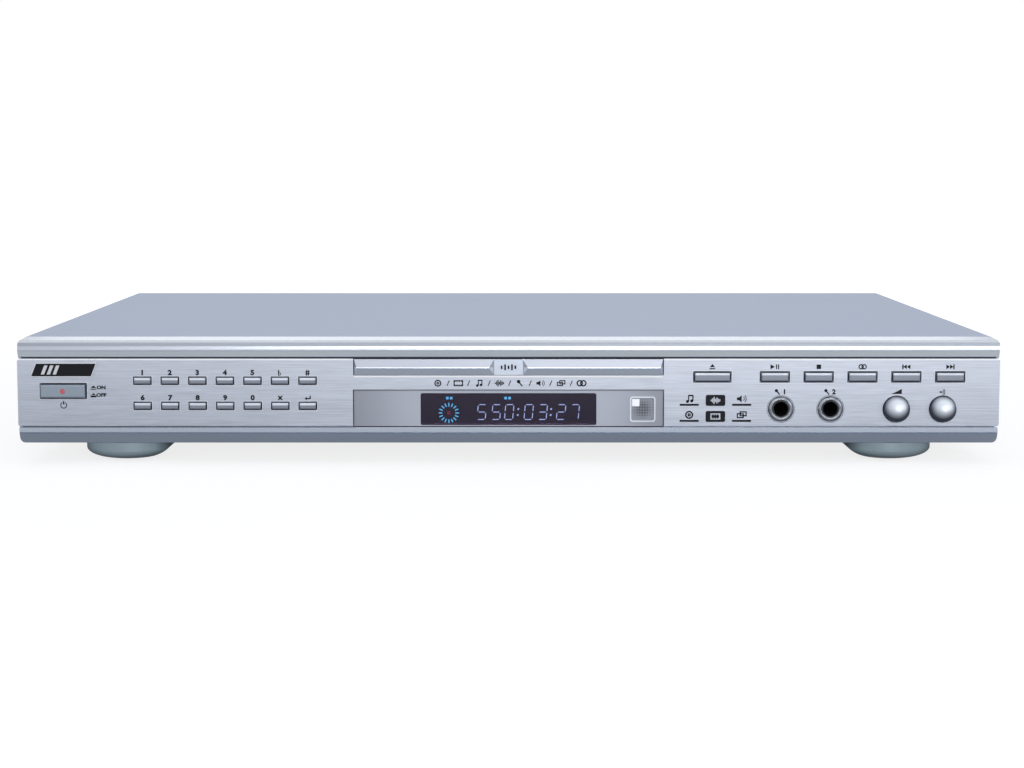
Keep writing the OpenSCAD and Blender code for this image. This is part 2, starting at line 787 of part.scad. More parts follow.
// A key: cap through the front, flange behind it, stem, and the switch's plunger that it presses
module key(x, z, w, h) {
    translate([x, 0, z]) {
        pillow(w, h, key_proud, key_proud + flange_y + 0.1, 0.5);
        upright(0, -h / 2 - 0.7, w + 1.6, h + 1.4, 0.4, flange_y, flange_t);
        rod_y(0, 0, stem_r, flange_y + flange_t - 0.1, stem_end - flange_y - flange_t + 0.1);
        rod_y(0, 0, plunger_r, stem_end, plunger_l);
    }
}
module number_key(row, i) {
    color("lightgray") key(key_x + i * key_pitch, number_rows[row], key_w, key_h);
}
module transport_key(i) {
    color("lightgray") key(transport_x + i * transport_pitch, transport_z, transport_w, transport_h);
}
module eject_key() {
    color("lightgray") key(eject_x, transport_z, eject_w, transport_h);
}
power_stem = [5, 3];
power_switch_y = board_y + board_t + 0.2;
module power_button() {
    flange_back = web_back + power_travel + 0.2;
    color("slategray") translate([power_x, 0, power_z]) {
        difference() {
            union() {
                pillow(power_w, power_h, power_proud, power_proud + flange_back + 0.1, 0.6);
                upright(0, -power_h / 2 - 0.8, power_w + 2, power_h + 1.6, 0.4, flange_back, 1);
                translate([-power_stem[0] / 2, flange_back + 0.9, -power_stem[1] / 2])
                    cube([power_stem[0], power_switch_y + 4 - flange_back, power_stem[1]]);
            }
            rod_y(0, 0, 1.15, -power_proud - 1, 3);
        }
        // The red lamp's lens in the middle of the button
        rod_y(0, 0, 1.1, -power_proud - 0.1, 2);
    }
}

module knob(i) {
    flat = knob_proud - knob_r;
    skirt = web_back + 1;
    color("gainsboro") translate([knob_x + i * knob_pitch, 0, socket_z]) {
        rotate([90, 0, 0]) rotate_extrude() polygon(concat(
            [[shaft_r, -skirt], [knob_r, -skirt]],
            arc(0, flat, knob_r, 0, 90, 16),
            [[0, 0], [shaft_r, 0]]
        ));
        rod_y(0, 0, shaft_r - 0.05, 0.1, 17);
    }
}

module mic_jacks() {
    bush_front = -0.4;
    ring_front = -1.0;
    body_y = 6;
    for (i = [0, 1])
        translate([jack_x + i * jack_pitch, 0, socket_z]) {
            color("black") difference() {
                union() {
                    rod_y(0, 0, 4.45, bush_front, body_y - bush_front + 0.1);
                    translate([-jack_body_w / 2, body_y, mic_board_top - socket_z + 0.05])
                        cube([jack_body_w, jack_bore_l + bush_front - body_y + 2.5, jack_body_h]);
                }
                rod_y(0, 0, jack_bore_r, bush_front - 1, jack_bore_l + 1);
            }
            // The chrome ring nut, on the front of the frame's web
            color("silver") translate([0, web_y - 0.05, 0]) rotate([90, 0, 0]) rotate_extrude() polygon([
                [4.55, 0], [jack_ring_r, 0], [jack_ring_r, web_y - ring_front - 0.8],
                [jack_ring_r - 0.7, web_y - ring_front], [4.2, web_y - ring_front],
                [3.75, web_y - ring_front - 0.45], [3.75, web_y - bush_front + 0.1],
                [4.55, web_y - bush_front + 0.1]
            ]);
        }
}
module potentiometers() {
    pot_y = 15;
    color("darkslategray") for (i = [0, 1])
        translate([knob_x + i * knob_pitch, 0, socket_z]) {
            difference() {
                union() {
                    rod_y(0, 0, pot_r, pot_y, 9);
                    rod_y(0, 0, 4.5, 8.5, pot_y - 8.4);
                    translate([-5, pot_y + 1, mic_board_top - socket_z + 0.05]) cube([10, 7, 6]);
                }
                rod_y(0, 0, shaft_r + 0.05, 8, 10);
            }
        }
}

module front_board() {
    left = -case_w / 2 + 8;
    right = case_w / 2 - 8;
    low = plate_z + 0.9;
    high = plate_top - 0.4;
    wing_z = mic_board_top + 17.2;
    centre_top = window_z + window_h / 2 + 0.6;
    color("seagreen") difference() {
        union() {
            box(left, -door_w / 2 - 4, board_y, board_y + board_t, low, high);
            box(-door_w / 2 - 4.1, door_w / 2 + 4.1, board_y, board_y + board_t, low, centre_top);
            box(door_w / 2 + 4, jack_x - 10, board_y, board_y + board_t, low, high);
            box(jack_x - 10.1, right, board_y, board_y + board_t, wing_z, high);
        }
        translate([power_x, board_y - 1, power_z])
            translate([-power_stem[0] / 2 - 0.5, 0, -power_stem[1] / 2 - 0.5])
                cube([power_stem[0] + 1, board_t + 2, power_stem[1] + 1]);
    }
    color("black") {
        for (row = [0, 1])
            for (i = [0:keys_in_row - 1])
                tact_switch(key_x + i * key_pitch, number_rows[row]);
        for (i = [0:len(transport_names) - 1])
            tact_switch(transport_x + i * transport_pitch, transport_z);
        tact_switch(eject_x, transport_z);
        // The remote receiver behind its window
        box(sensor_x - 3.4, sensor_x + 3.4, web_back + 1.1, board_y, window_z - 3.6, window_z + 3.6);
    }
}
module tact_switch(x, z) {
    difference() {
        box(x - switch_w / 2, x + switch_w / 2, switch_y, board_y, z - switch_w / 2, z + switch_w / 2);
        // The plunger's hole, deep enough for its travel
        rod_y(x, z, plunger_r + 0.15, switch_y - 1, 1 + plunger_l - plunger_out + key_travel + 0.5);
    }
}
module display_tube() {
    tube_y = web_back + 1.1;
    color("darkslateblue") box(-window_w / 2 - 1, window_w / 2 + 1, tube_y, board_y - 0.05,
        window_z - window_h / 2 + 0.2, window_z + window_h / 2 - 0.2);
}

module circuit_boards() {
    color("darkgreen") difference() {
        union() {
            low_board(power_board_x, [power_board_y, boards_rear_y]);
            low_board(main_board_x, main_board_y);
            low_board(output_board_x, [output_board_y, boards_rear_y]);
            box(mic_board_x[0], mic_board_x[1], shell_y + sheet_t + 0.5, mic_board_end,
                mic_board_top - board_t, mic_board_top);
        }
        for (p = concat(standoffs, mic_standoffs))
            translate([p[0], p[1], pan_top]) cylinder(r = screw_r + 0.15, h = 12);
    }
}
module low_board(x, y) {
    box(x[0], x[1], y[0], y[1], low_board_z, low_board_z + board_t);
}
// A block that stands on a low board
module on_board(x, y, w, d, h) {
    translate([x, y, low_board_z + board_t]) cube([w, d, h]);
}
module board_components() {
    top = low_board_z + board_t;
    power_left = power_board_x[0];
    power_right = power_board_x[1];
    main_left = main_board_x[0];
    // Round capacitors of the power board: x, y, radius, height
    capacitors = [
        [power_right - 34, case_d - 92, 11, 26], [power_right - 18, case_d - 66, 6, 18],
        [power_right - 18, case_d - 50, 6, 18], [power_right - 32, case_d - 36, 5, 14]
    ];
    color("royalblue") for (c = capacitors)
        translate([c[0], c[1], top]) cylinder(r = c[2], h = c[3]);
    color("dimgray") {
        // Decoder, memory and amplifier chips
        on_board(main_left + 42, main_board_y[0] + 42, 28, 28, 2.4);
        on_board(main_left + 78, main_board_y[0] + 42, 12, 22, 1.6);
        on_board(main_left + 24, main_board_y[0] + 46, 10, 20, 1.6);
        on_board(phono_x + 30, output_board_y + 14, 18, 8, 3);
    }
    board_ribbons(top);
    // Finned heat sink of the power board
    color("silver") translate([power_right - 64, case_d - 64, top]) {
        cube([4, 34, 22]);
        for (i = [0:4])
            translate([3.9, i * 7.5, 0]) cube([8, 2, 22]);
    }
    // Latching power switch, carried by the front board
    color("ivory") difference() {
        box(power_x - 4.5, power_x + 4.5, board_y + board_t + 0.05, power_switch_y + 18,
            power_z - 4, power_z + 4);
        box(power_x - power_stem[0] / 2 - 0.2, power_x + power_stem[0] / 2 + 0.2,
            board_y, power_switch_y + 9.5,
            power_z - power_stem[1] / 2 - 0.2, power_z + power_stem[1] / 2 + 0.2);
    }
    fuse(power_left + 8, case_d - 104, top);
}
// Ribbon cables with their connectors: front board to main board, and main board to output board
module board_ribbons(top) {
    connector_h = 6;
    cable_t = 0.8;
    left = ribbon_x + 1;
    right = ribbon_x + ribbon_w - 1;
    link_y = main_board_y[1] - 8;
    link_end = output_board_y + 4;
    color("ivory") {
        for (y = [ribbon_y, link_y, link_end])
            box(ribbon_x, ribbon_x + ribbon_w, y, y + 5, top, top + connector_h);
        box(ribbon_x, ribbon_x + ribbon_w, board_y + board_t + 0.05, board_y + board_t + 5,
            ribbon_z - 2.5, ribbon_z + 2.5);
    }
    color("gray") {
        box(left, right, board_y + board_t + 5, ribbon_y + 3,
            ribbon_z - cable_t / 2, ribbon_z + cable_t / 2);
        box(left, right, ribbon_y + 2.2, ribbon_y + 3, top + connector_h, ribbon_z);
        box(left, right, link_y + 2, link_end + 3, top + 8.2, top + 8.2 + cable_t);
        for (y = [link_y + 2, link_end + 2.2])
            box(left, right, y, y + cable_t, top + connector_h, top + 8.5);
    }
}
// A glass fuse across X in two clips
module fuse(x, y, top) {
    fuse_r = 2.6;
    fuse_z = top + 3.2;
    color("white") rod_x(x, y, fuse_z, fuse_r, 20);
    color("silver") for (clip_x = [x + 1, x + 16])
        difference() {
            box(clip_x, clip_x + 3, y - 3, y + 3, top, top + 5);
            rod_x(clip_x - 1, y, fuse_z, fuse_r + 0.05, 5);
        }
}
module transformer() {
    top = low_board_z + board_t;
    coil = [30, 28, 20];
    core = [34, 16, 26];
    x = power_board_x[0] + 33;
    y = case_d - 82;
    color("darkorange") translate([x - coil[0] / 2, y - coil[1] / 2, top + 3]) cube(coil);
    color("black") difference() {
        translate([x - core[0] / 2, y - core[1] / 2, top]) cube(core);
        translate([x - coil[0] / 2 - 0.1, y - coil[1] / 2, top + 2.9])
            cube([coil[0] + 0.2, coil[1], coil[2] + 0.2]);
    }
}

module phono_sockets() {
    body_h = phono_low_z + phono_pitch + 6 - low_board_z - board_t;
    for (c = [0:phono_columns - 1]) {
        color("black") translate([phono_x + c * phono_pitch - 6, rear_y - 13, low_board_z + board_t])
            cube([12, 12.95, body_h]);
        for (row = [0, 1])
            color("silver") translate([phono_x + c * phono_pitch, 0, phono_low_z + row * phono_pitch]) {
                difference() {
                    union() {
                        // The collar fills the panel's hole, and the barrel stands out of it
                        rod_y(0, 0, phono_r + phono_collar, rear_y - 0.05, sheet_t + 0.05);
                        rod_y(0, 0, phono_r, rear_y, sheet_t + phono_proud);
                    }
                    rod_y(0, 0, phono_r - 0.5, case_d + 1, phono_proud);
                }
                difference() {
                    rod_y(0, 0, phono_r - 0.55, case_d + 1.05, phono_proud - 1.5);
                    rod_y(0, 0, 1.6, case_d + 2, phono_proud);
                }
            }
    }
}
module mains_inlet() {
    flange_t2 = 1.6;
    socket_w = 18;
    socket_h = 9;
    color("black") translate([inlet_x, 0, inlet_z]) {
        difference() {
            union() {
                box(-inlet_w / 2, inlet_w / 2, rear_y - 13, case_d, -inlet_h / 2, inlet_h / 2);
                box(-inlet_w / 2 - 3, inlet_w / 2 + 3, case_d + 0.05, case_d + flange_t2,
                    -inlet_h / 2 - 2, inlet_h / 2 + 2);
                box(-inlet_w / 2, inlet_w / 2, case_d - 0.1, case_d + 0.1, -inlet_h / 2, inlet_h / 2);
            }
            translate([-socket_w / 2, case_d - 10, -socket_h / 2]) cube([socket_w, 20, socket_h]);
        }
        for (x = [-4.3, 4.3])
            rod_y(x, 0, 1.2, case_d - 10.1, 9.5);
        // Block that seats the inlet on the power board
        box(-inlet_w / 2 + 3, inlet_w / 2 - 3, rear_y - 13, boards_rear_y - 0.1,
            low_board_z + board_t + 0.05 - inlet_z, 0);
    }
}

// The tray's rim, its recess, and the slot that the turntable and the sled look through
module disc_tray() {
    finger_r = 12;
    wall = 2.2;
    color("darkslategray") difference() {
        union() {
            difference() {
                box(-tray_w / 2, tray_w / 2, tray_y, tray_end, tray_z, tray_top);
                // Hollow underside
                box(-tray_w / 2 + wall, tray_w / 2 - wall, tray_y + wall, tray_end + 1,
                    tray_z - 1, tray_under);
            }
            // Rims on both sides of the slot stiffen the floor
            for (side = [-1, 1])
                translate([side * (slot_w / 2 + 1) - 1, disc_y, tray_z + 0.6])
                    cube([2, tray_end - disc_y, tray_under - tray_z]);
            translate([rack_x, drive_y - 4 - PI * rack_module / 2, tray_z + 0.1])
                rack_placed();
        }
        translate([0, disc_y, recess_z]) cylinder(r = disc_r, h = 10, $fn = 96);
        // The smaller recess of an 8 cm disc
        translate([0, disc_y, recess_z - 0.5]) cylinder(r = 40.6, h = 10, $fn = 96);
        for (side = [-1, 1])
            translate([side * disc_r, disc_y, recess_z - 0.5]) cylinder(r = finger_r, h = 10);
        translate([0, disc_y, tray_z - 1]) cylinder(r = slot_w / 2, h = 12);
        box(-slot_w / 2, slot_w / 2, disc_y, tray_end + 1, tray_z - 1, tray_top + 1);
    }
}
// Rack teeth in phase with the drive gear: a gap stands opposite its centre
module rack_placed() {
    pitch = PI * rack_module;
    first = -ceil(4 / pitch) * pitch;
    translate([0, 4 + PI * rack_module / 2 + first, 0])
        linear_extrude(rack_h) polygon(rack_points(rack_teeth, rack_module, 3));
}

module tray_door() {
    block_w = 12.6;
    hip_out = 1.2;
    hip_in = 2.3;
    face_y = 0.4;
    ridge = 1.1;
    half = (door_w - block_w) / 2;
    ridge_z = door_h * 0.44;
    color("lightgray") {
        box(-door_w / 2, door_w / 2, face_y, tray_y - 0.05, door_z, door_z + door_h);
        for (side = [-1, 1])
            translate([side * (block_w + half) / 2, 0, door_z]) mirror([side < 0 ? 1 : 0, 0, 0])
                door_ridge(half, face_y, ridge, ridge_z, hip_out, hip_in);
        box(-block_w / 2, block_w / 2, face_y - 0.5, face_y + 0.1, door_z, door_z + door_h);
    }
}
// A long ridge with sloping ends: the upper facet looks up, and the lower one looks down
module door_ridge(l, face_y, ridge, ridge_z, hip_out, hip_in) {
    intersection() {
        along_x(l) polygon([
            [face_y + 0.1, 0], [face_y, 0], [face_y - ridge, ridge_z],
            [face_y, door_h], [face_y + 0.1, door_h]
        ]);
        linear_extrude(door_h) polygon([
            [-l / 2, face_y + 0.1], [-l / 2, face_y], [-l / 2 + hip_in, face_y - ridge],
            [l / 2 - hip_out, face_y - ridge], [l / 2, face_y], [l / 2, face_y + 0.1]
        ]);
    }
}

module loader_frame() {
    inner = loader_w / 2 - loader_wall;
    deck_left = -inner;
    deck_right = motor_x + motor_r + 4;
    hinge_block = 5;
    color("dimgray") difference() {
        union() {
            for (side = [-1, 1]) {
                // Side wall, the ledge that the tray runs on, and the foot rail
                translate([side * (loader_w - loader_wall) / 2 - loader_wall / 2, loader_y, loader_floor])
                    cube([loader_wall, loader_end - loader_y, loader_top - loader_floor]);
                translate([side * (inner - ledge_w / 2) - ledge_w / 2 - 0.05, loader_y, ledge_z - ledge_t])
                    cube([ledge_w + 0.1, loader_end - loader_y, ledge_t]);
            }
            for (p = loader_ears)
                translate([p[0], p[1], loader_floor]) {
                    cylinder(r = 5, h = 3);
                    translate([p[0] > 0 ? -6 : 0, -4, 0]) cube([6, 8, 3]);
                }
            // Front wall, guide wall of the cam slider, rear wall
            box(-inner - 0.1, inner + 0.1, loader_y, loader_y + 1.5, loader_floor, deck_top);
            box(-inner - 0.1, inner + 0.1, cam_wall_y, cam_wall_y + cam_wall_t, loader_floor, deck_top);
            box(-inner - 0.1, inner + 0.1, loader_end - 2, loader_end, loader_floor, ledge_z - ledge_t);
            // Lips above and below the cam slider
            for (z = [cam_low - 0.2 - 1.4, cam_high + 0.2])
                box(-30, 32, cam_wall_y + cam_wall_t - 0.1, cam_y + cam_t + 0.6, z, z + 1.4);
            // Gear deck with its two posts
            box(deck_left, deck_right, loader_y, cam_wall_y + 0.1, deck_z, deck_top);
            translate([drive_x, drive_y, deck_top - 0.1])
                cylinder(r = post_r, h = drive_gear_top - deck_top - 0.1);
            translate([pulley_x, pulley_y, deck_top - 0.1])
                cylinder(r = post_r, h = pulley_top - deck_top - 0.1);
            hinge_blocks(hinge_block);
            // Lips that keep the open tray from tipping
            for (side = [-1, 1])
                for (y = [loader_y, loader_y + 40])
                    translate([side * (inner - 1.5) - 1.6, y, tray_top + 0.3]) cube([3.2, 12, 1.2]);
        }
        // The motor's seat under the deck
        translate([motor_x, motor_y, deck_z - 1]) cylinder(r = 3.4, h = deck_t + 2);
        // The large gear dips through the guide wall's top edge
        translate([drive_x, drive_y, deck_top]) difference() {
            cylinder(r = wheel_r + train_module + 0.6, h = 20);
            translate([0, 0, -1]) cylinder(r = post_r, h = 22);
        }
        for (x = [traverse_left - hinge_pin_l - 1, traverse_right - 1])
            rod_x(x, hinge_y, hinge_z, hinge_pin_r + 0.06, hinge_pin_l + 2);
        for (p = loader_ears)
            translate([p[0], p[1], loader_floor - 1]) cylinder(r = screw_r + 0.15, h = 6);
    }
}
// Two blocks behind the traverse that hold its hinge pins
module hinge_blocks(block) {
    for (side = [-1, 1]) {
        x = side < 0 ? traverse_left - seam - hinge_pin_l : traverse_right + seam;
        box(x, x + hinge_pin_l, hinge_y - block, hinge_y + block, loader_floor, hinge_z + block);
        box(x, x + hinge_pin_l, hinge_y, loader_end - 1, loader_floor, hinge_z - 2);
    }
}

module drive_gear() {
    color("ivory") translate([drive_x, drive_y, 0]) difference() {
        union() {
            rotate([0, 0, train_angle + 180 / wheel_teeth])
                gear(wheel_teeth, train_module, wheel_z, wheel_t);
            gear(drive_teeth, rack_module, wheel_top - 0.1, drive_gear_top - wheel_top + 0.1);
        }
        translate([0, 0, wheel_z - 1]) cylinder(r = post_r + post_gap, h = 20);
    }
}
module pulley_gear() {
    color("ivory") translate([pulley_x, pulley_y, 0]) difference() {
        union() {
            rotate([0, 0, train_angle + 180]) gear(pinion_teeth, train_module, wheel_z, wheel_t + 0.2);
            pulley(pulley_r, wheel_top + 0.1, pulley_top);
        }
        translate([0, 0, wheel_z - 1]) cylinder(r = post_r + post_gap, h = 20);
    }
}
// A disc with a groove for the belt
module pulley(r, z0, z1) {
    lip = 0.4;
    rotate_extrude() polygon([
        [0, z0], [r, z0], [r, z0 + lip], [r - groove, z0 + lip + 0.15],
        [r - groove, z1 - lip - 0.15], [r, z1 - lip], [r, z1], [0, z1]
    ]);
}
module motor_pulley() {
    color("ivory") translate([motor_x, motor_y, 0]) {
        difference() {
            union() {
                pulley(motor_pulley_r, wheel_top + 0.1, pulley_top);
                translate([0, 0, deck_top + 0.6]) cylinder(r = 1.9, h = wheel_top - deck_top - 0.4);
            }
            translate([0, 0, deck_top]) cylinder(r = 0.8, h = 20);
        }
        translate([0, 0, deck_z - 3]) cylinder(r = 0.75, h = pulley_top - deck_z + 3);
    }
}
module loading_motor() {
    color("silver") translate([motor_x, motor_y, 0]) difference() {
        union() {
            translate([0, 0, deck_z - 0.05 - motor_h]) cylinder(r = motor_r, h = motor_h);
            translate([0, 0, deck_z - 0.1]) cylinder(r = 3.3, h = 1.2);
        }
        translate([0, 0, deck_z - 6]) cylinder(r = 0.85, h = 10);
    }
}
// The belt's loop round the two grooves, as an outline offset by off
function belt_outline(off) =
    let (
        r1 = motor_pulley_r - groove + 0.05 + off,
        r2 = pulley_r - groove + 0.05 + off,
        dx = pulley_x - motor_x,
        dy = pulley_y - motor_y,
        l = sqrt(dx * dx + dy * dy),
        along = atan2(dy, dx),
        lean = acos((r2 - r1) / l)
    )
    concat(
        arc(pulley_x, pulley_y, r2, along - 180 + lean, along + 180 - lean, 24),
        arc(motor_x, motor_y, r1, along + 180 - lean, along + 180 + lean, 16)
    );
module drive_belt() {
    mid = (wheel_top + 0.1 + pulley_top) / 2;
    thick = 0.6;
    color("black") translate([0, 0, mid - thick / 2]) linear_extrude(thick) difference() {
        polygon(belt_outline(belt_w / 2));
        polygon(belt_outline(0));
    }
}

// The cam slider's plate: as high as its slot needs
cam_high = cam_pin_z + cam_slot_r + 2.2;
cam_low = cam_pin_z - cam_drop - cam_slot_r - 2.2;
module cam_slider() {
    color("whitesmoke") difference() {
        box(-cam_travel - 5, 8, cam_y, cam_y + cam_t, cam_low, cam_high);
        // Sloping slot that carries the traverse's front pin
        translate([0, cam_y + cam_t + 1, 0]) rotate([90, 0, 0]) linear_extrude(cam_t + 2) {
            translate([0, cam_pin_z]) circle(cam_slot_r);
            translate([-cam_travel, cam_pin_z - cam_drop]) circle(cam_slot_r);
            polygon(slot_sides);
        }
    }
}
// The four corners of the sloping slot, between its round ends
slot_lean = atan2(cam_drop, cam_travel);
slot_sides = [
    [-cam_slot_r * sin(slot_lean), cam_pin_z + cam_slot_r * cos(slot_lean)],
    [cam_slot_r * sin(slot_lean), cam_pin_z - cam_slot_r * cos(slot_lean)],
    [-cam_travel + cam_slot_r * sin(slot_lean), cam_pin_z - cam_drop - cam_slot_r * cos(slot_lean)],
    [-cam_travel - cam_slot_r * sin(slot_lean), cam_pin_z - cam_drop + cam_slot_r * cos(slot_lean)]
];

module traverse_frame() {
    end_t = 4;
    opening = sled_w / 2 + 1;
    color("gray") difference() {
        union() {
            box(traverse_left, traverse_right, traverse_front, hinge_y + 1, traverse_z, traverse_top);
            // Rail holders at both ends
            for (y = [rail_y0 - end_t + 2, rail_y1 - 2])
                for (side = [-1, 1])
                    translate([side * rail_x - 3.2, y, traverse_top - 0.1])
                        cube([6.4, end_t, rail_z + 2.8 - traverse_top]);
            // Hinge pins
            rod_x(traverse_left - hinge_pin_l, hinge_y, hinge_z, hinge_pin_r, hinge_pin_l + 4);
            rod_x(traverse_right - 4, hinge_y, hinge_z, hinge_pin_r, hinge_pin_l + 4);
            rod_x(traverse_left, hinge_y, hinge_z, hinge_pin_r + 0.8, traverse_right - traverse_left);
            // Front pin, in the cam slider's slot
            rod_y(0, cam_pin_z, cam_pin_r, cam_y + 0.3, traverse_front - cam_y);
            translate([-4, traverse_front, cam_pin_z - 2]) cube([8, 4, 4]);
        }
        box(-opening, opening, rail_y0 + 2.2, rail_y1 - 2.4, traverse_z - 1, traverse_top + 0.05);
        // The sled motor's shaft
        translate([sled_pinion_x, sled_pinion_y, traverse_z - 1]) cylinder(r = 1.6, h = 6);
        // The spindle motor's shaft
        translate([0, turntable_y, traverse_z - 1]) cylinder(r = 4, h = 6);
        for (side = [-1, 1])
            rod_y(side * rail_x, rail_z, rail_r + 0.02, rail_y0, rail_y1 - rail_y0);
    }
}
module traverse_motors() {
    color("silver") {
        // Spindle motor under the plate
        translate([0, turntable_y, 0]) difference() {
            translate([0, 0, traverse_z - 0.05 - spindle_h]) cylinder(r = spindle_r, h = spindle_h);
            translate([0, 0, traverse_z - 7]) cylinder(r = 1.3, h = 10);
        }
        // Sled motor under the plate
        translate([sled_pinion_x, sled_pinion_y, 0]) difference() {
            translate([0, 0, traverse_z - 0.05 - 9]) cylinder(r = 7.5, h = 9);
            translate([0, 0, traverse_z - 5]) cylinder(r = 0.85, h = 10);
        }
    }
}
module turntable() {
    plate_t2 = 2;
    cone = 7.4;
    color("black") translate([0, turntable_y, 0]) {
        rotate_extrude() polygon([
            [0, disc_plane - plate_t2], [turntable_r, disc_plane - plate_t2], [turntable_r, disc_plane],
            [cone, disc_plane], [cone, disc_plane + 1.1], [cone - 1.6, hub_top], [0, hub_top]
        ]);
        translate([0, 0, traverse_z - 6]) cylinder(r = 1.2, h = disc_plane - plate_t2 - traverse_z + 6.1);
        translate([0, 0, traverse_top + 0.4])
            cylinder(r = 6, h = disc_plane - plate_t2 - traverse_top - 0.3);
    }
}
module sled_rails() {
    color("silver") for (side = [-1, 1])
        rod_y(side * rail_x, rail_z, rail_r, rail_y0 + 0.1, rail_y1 - rail_y0 - 0.2);
}
module optical_sled() {
    rack_l = sled_travel + 8;
    teeth = floor(rack_l / (PI * train_module));
    pitch = PI * train_module;
    color("slategray") difference() {
        union() {
            box(-sled_w / 2, sled_w / 2, sled_y0, sled_y0 + sled_l, sled_z, sled_top);
            // Laser and mirror housing below
            box(-11, 11, sled_y0 + 2, sled_y0 + sled_l - 2, sled_z - 5, sled_z + 0.1);
            // Lens carrier
            translate([-6, lens_y - 4.4, sled_top - 0.1]) cube([12, 10, 1.5]);
        }
        for (side = [-1, 1])
            rod_y(side * rail_x, rail_z, rail_r + 0.05, sled_y0 - 1, sled_l + 2);
        translate([0, lens_y, sled_top - 1]) cylinder(r = lens_r + 0.05, h = 5);
    }
    // Rack on the sled's right flank, in phase with its pinion
    rack_start = sled_pinion_y - ceil((sled_pinion_y - sled_rack_y0) / pitch) * pitch;
    color("slategray") translate([sled_rack_x, rack_start, sled_gear_z])
        linear_extrude(sled_gear_t) polygon(rack_points(teeth + 1, train_module, 1.7));
    color("lightskyblue") translate([0, lens_y, sled_top - 0.95]) cylinder(r = lens_r, h = 2.6);
}
module sled_pinion() {
    color("ivory") translate([sled_pinion_x, sled_pinion_y, 0]) {
        gear(pinion_teeth, train_module, sled_gear_z - 0.2, sled_gear_t + 0.4);
        translate([0, 0, traverse_z - 4.5]) cylinder(r = 0.75, h = sled_gear_z - traverse_z + 4.5);
    }
}

module clamp_bridge() {
    bridge_w = loader_w;
    color("silver") difference() {
        union() {
            box(-bridge_w / 2, bridge_w / 2, disc_y - bridge_l / 2, disc_y + bridge_l / 2,
                bridge_z + 0.05, bridge_z + bridge_t);
            // Stiffening edges
            for (y = [disc_y - bridge_l / 2, disc_y + bridge_l / 2 - 1])
                box(-bridge_w / 2 + 6, bridge_w / 2 - 6, y, y + 1,
                    bridge_z + bridge_t - 0.1, bridge_z + bridge_t + 2);
        }
        translate([0, disc_y, bridge_z - 1]) cylinder(r = puck_hole_r, h = 5);
    }
}
module clamp_puck() {
    low = disc_plane + 1.3;
    flange_z = bridge_z + bridge_t + 0.2;
    color("ivory") translate([0, disc_y, 0]) rotate_extrude() polygon([
        [7.9, low], [puck_r, low], [puck_r, flange_z], [puck_flange_r, flange_z],
        [puck_flange_r, flange_z + 1.2], [0, flange_z + 1.2], [0, hub_top + 0.6], [7.9, hub_top + 0.6]
    ]);
}

// One front foot, seen from the front: steep outside, long curve inside. side is -1 on the left.
module front_foot(side) {
    flat_r = 7;
    steep_rise = 4.6;
    inside_start = 0.3 * flat_r;
    inside_r = 0.97 * front_foot_r;
    inside_rise = 7.4;
    foot_top = pan_z - 0.05;
    beyond = front_foot_r + 1;
    steep_side = [
        for (i = [1:10]) let (a = i * 9)
            [flat_r + (front_foot_r - flat_r) * sin(a), pad_proud + steep_rise * (1 - cos(a))]
    ];
    inner_side = [
        for (i = [0:12]) let (a = i * 7.5)
            [-inside_start - (inside_r - inside_start) * sin(a), pad_proud + inside_rise * (1 - cos(a))]
    ];
    translate([side * front_foot_x, front_foot_y, 0]) mirror([side < 0 ? 1 : 0, 0, 0]) difference() {
        intersection() {
            rotate_extrude() polygon(concat(
                [[0, pad_proud], [flat_r, pad_proud]], steep_side, [[front_foot_r, foot_top], [0, foot_top]]
            ));
            translate([0, beyond, 0]) rotate([90, 0, 0]) linear_extrude(2 * beyond) polygon(concat(
                [[beyond, foot_top + 1], [beyond, 0], [flat_r, 0]],
                inner_side,
                [[-inside_r - 0.4, foot_top + 1]]
            ));
        }
        translate([0, 0, -1]) cylinder(r = pad_r + 0.05, h = 1 + pad_t);
        translate([0, 0, pad_t - 0.1]) cylinder(r = head_r + 0.2, h = foot_seat_z - pad_t + 0.1);
        translate([0, 0, -1]) cylinder(r = screw_r + 0.1, h = 20);
        // Step under the front frame
        translate([-beyond, -beyond, foot_h - seam])
            cube([2 * beyond, shell_y + beyond - front_foot_y, 5]);
    }
}
module front_feet() {
    color("silver") for (side = [-1, 1]) front_foot(side);
}
module rubber_feet() {
    color("darkslategray") for (p = foot_centres)
        translate([p[0], p[1], 0])
            if (p[2]) {
                difference() {
                    cylinder(r = pad_r, h = pad_t);
                    translate([0, 0, -1]) cylinder(r = head_r + 0.2, h = pad_t + 2);
                }
            } else {
                difference() {
                    cylinder(r1 = rear_foot_r - 1.5, r2 = rear_foot_r, h = pan_z - 0.05);
                    translate([0, 0, -1]) cylinder(r = head_r + 0.2, h = foot_seat_z + 1);
                    translate([0, 0, -1]) cylinder(r = screw_r + 0.1, h = 20);
                }
            }
}

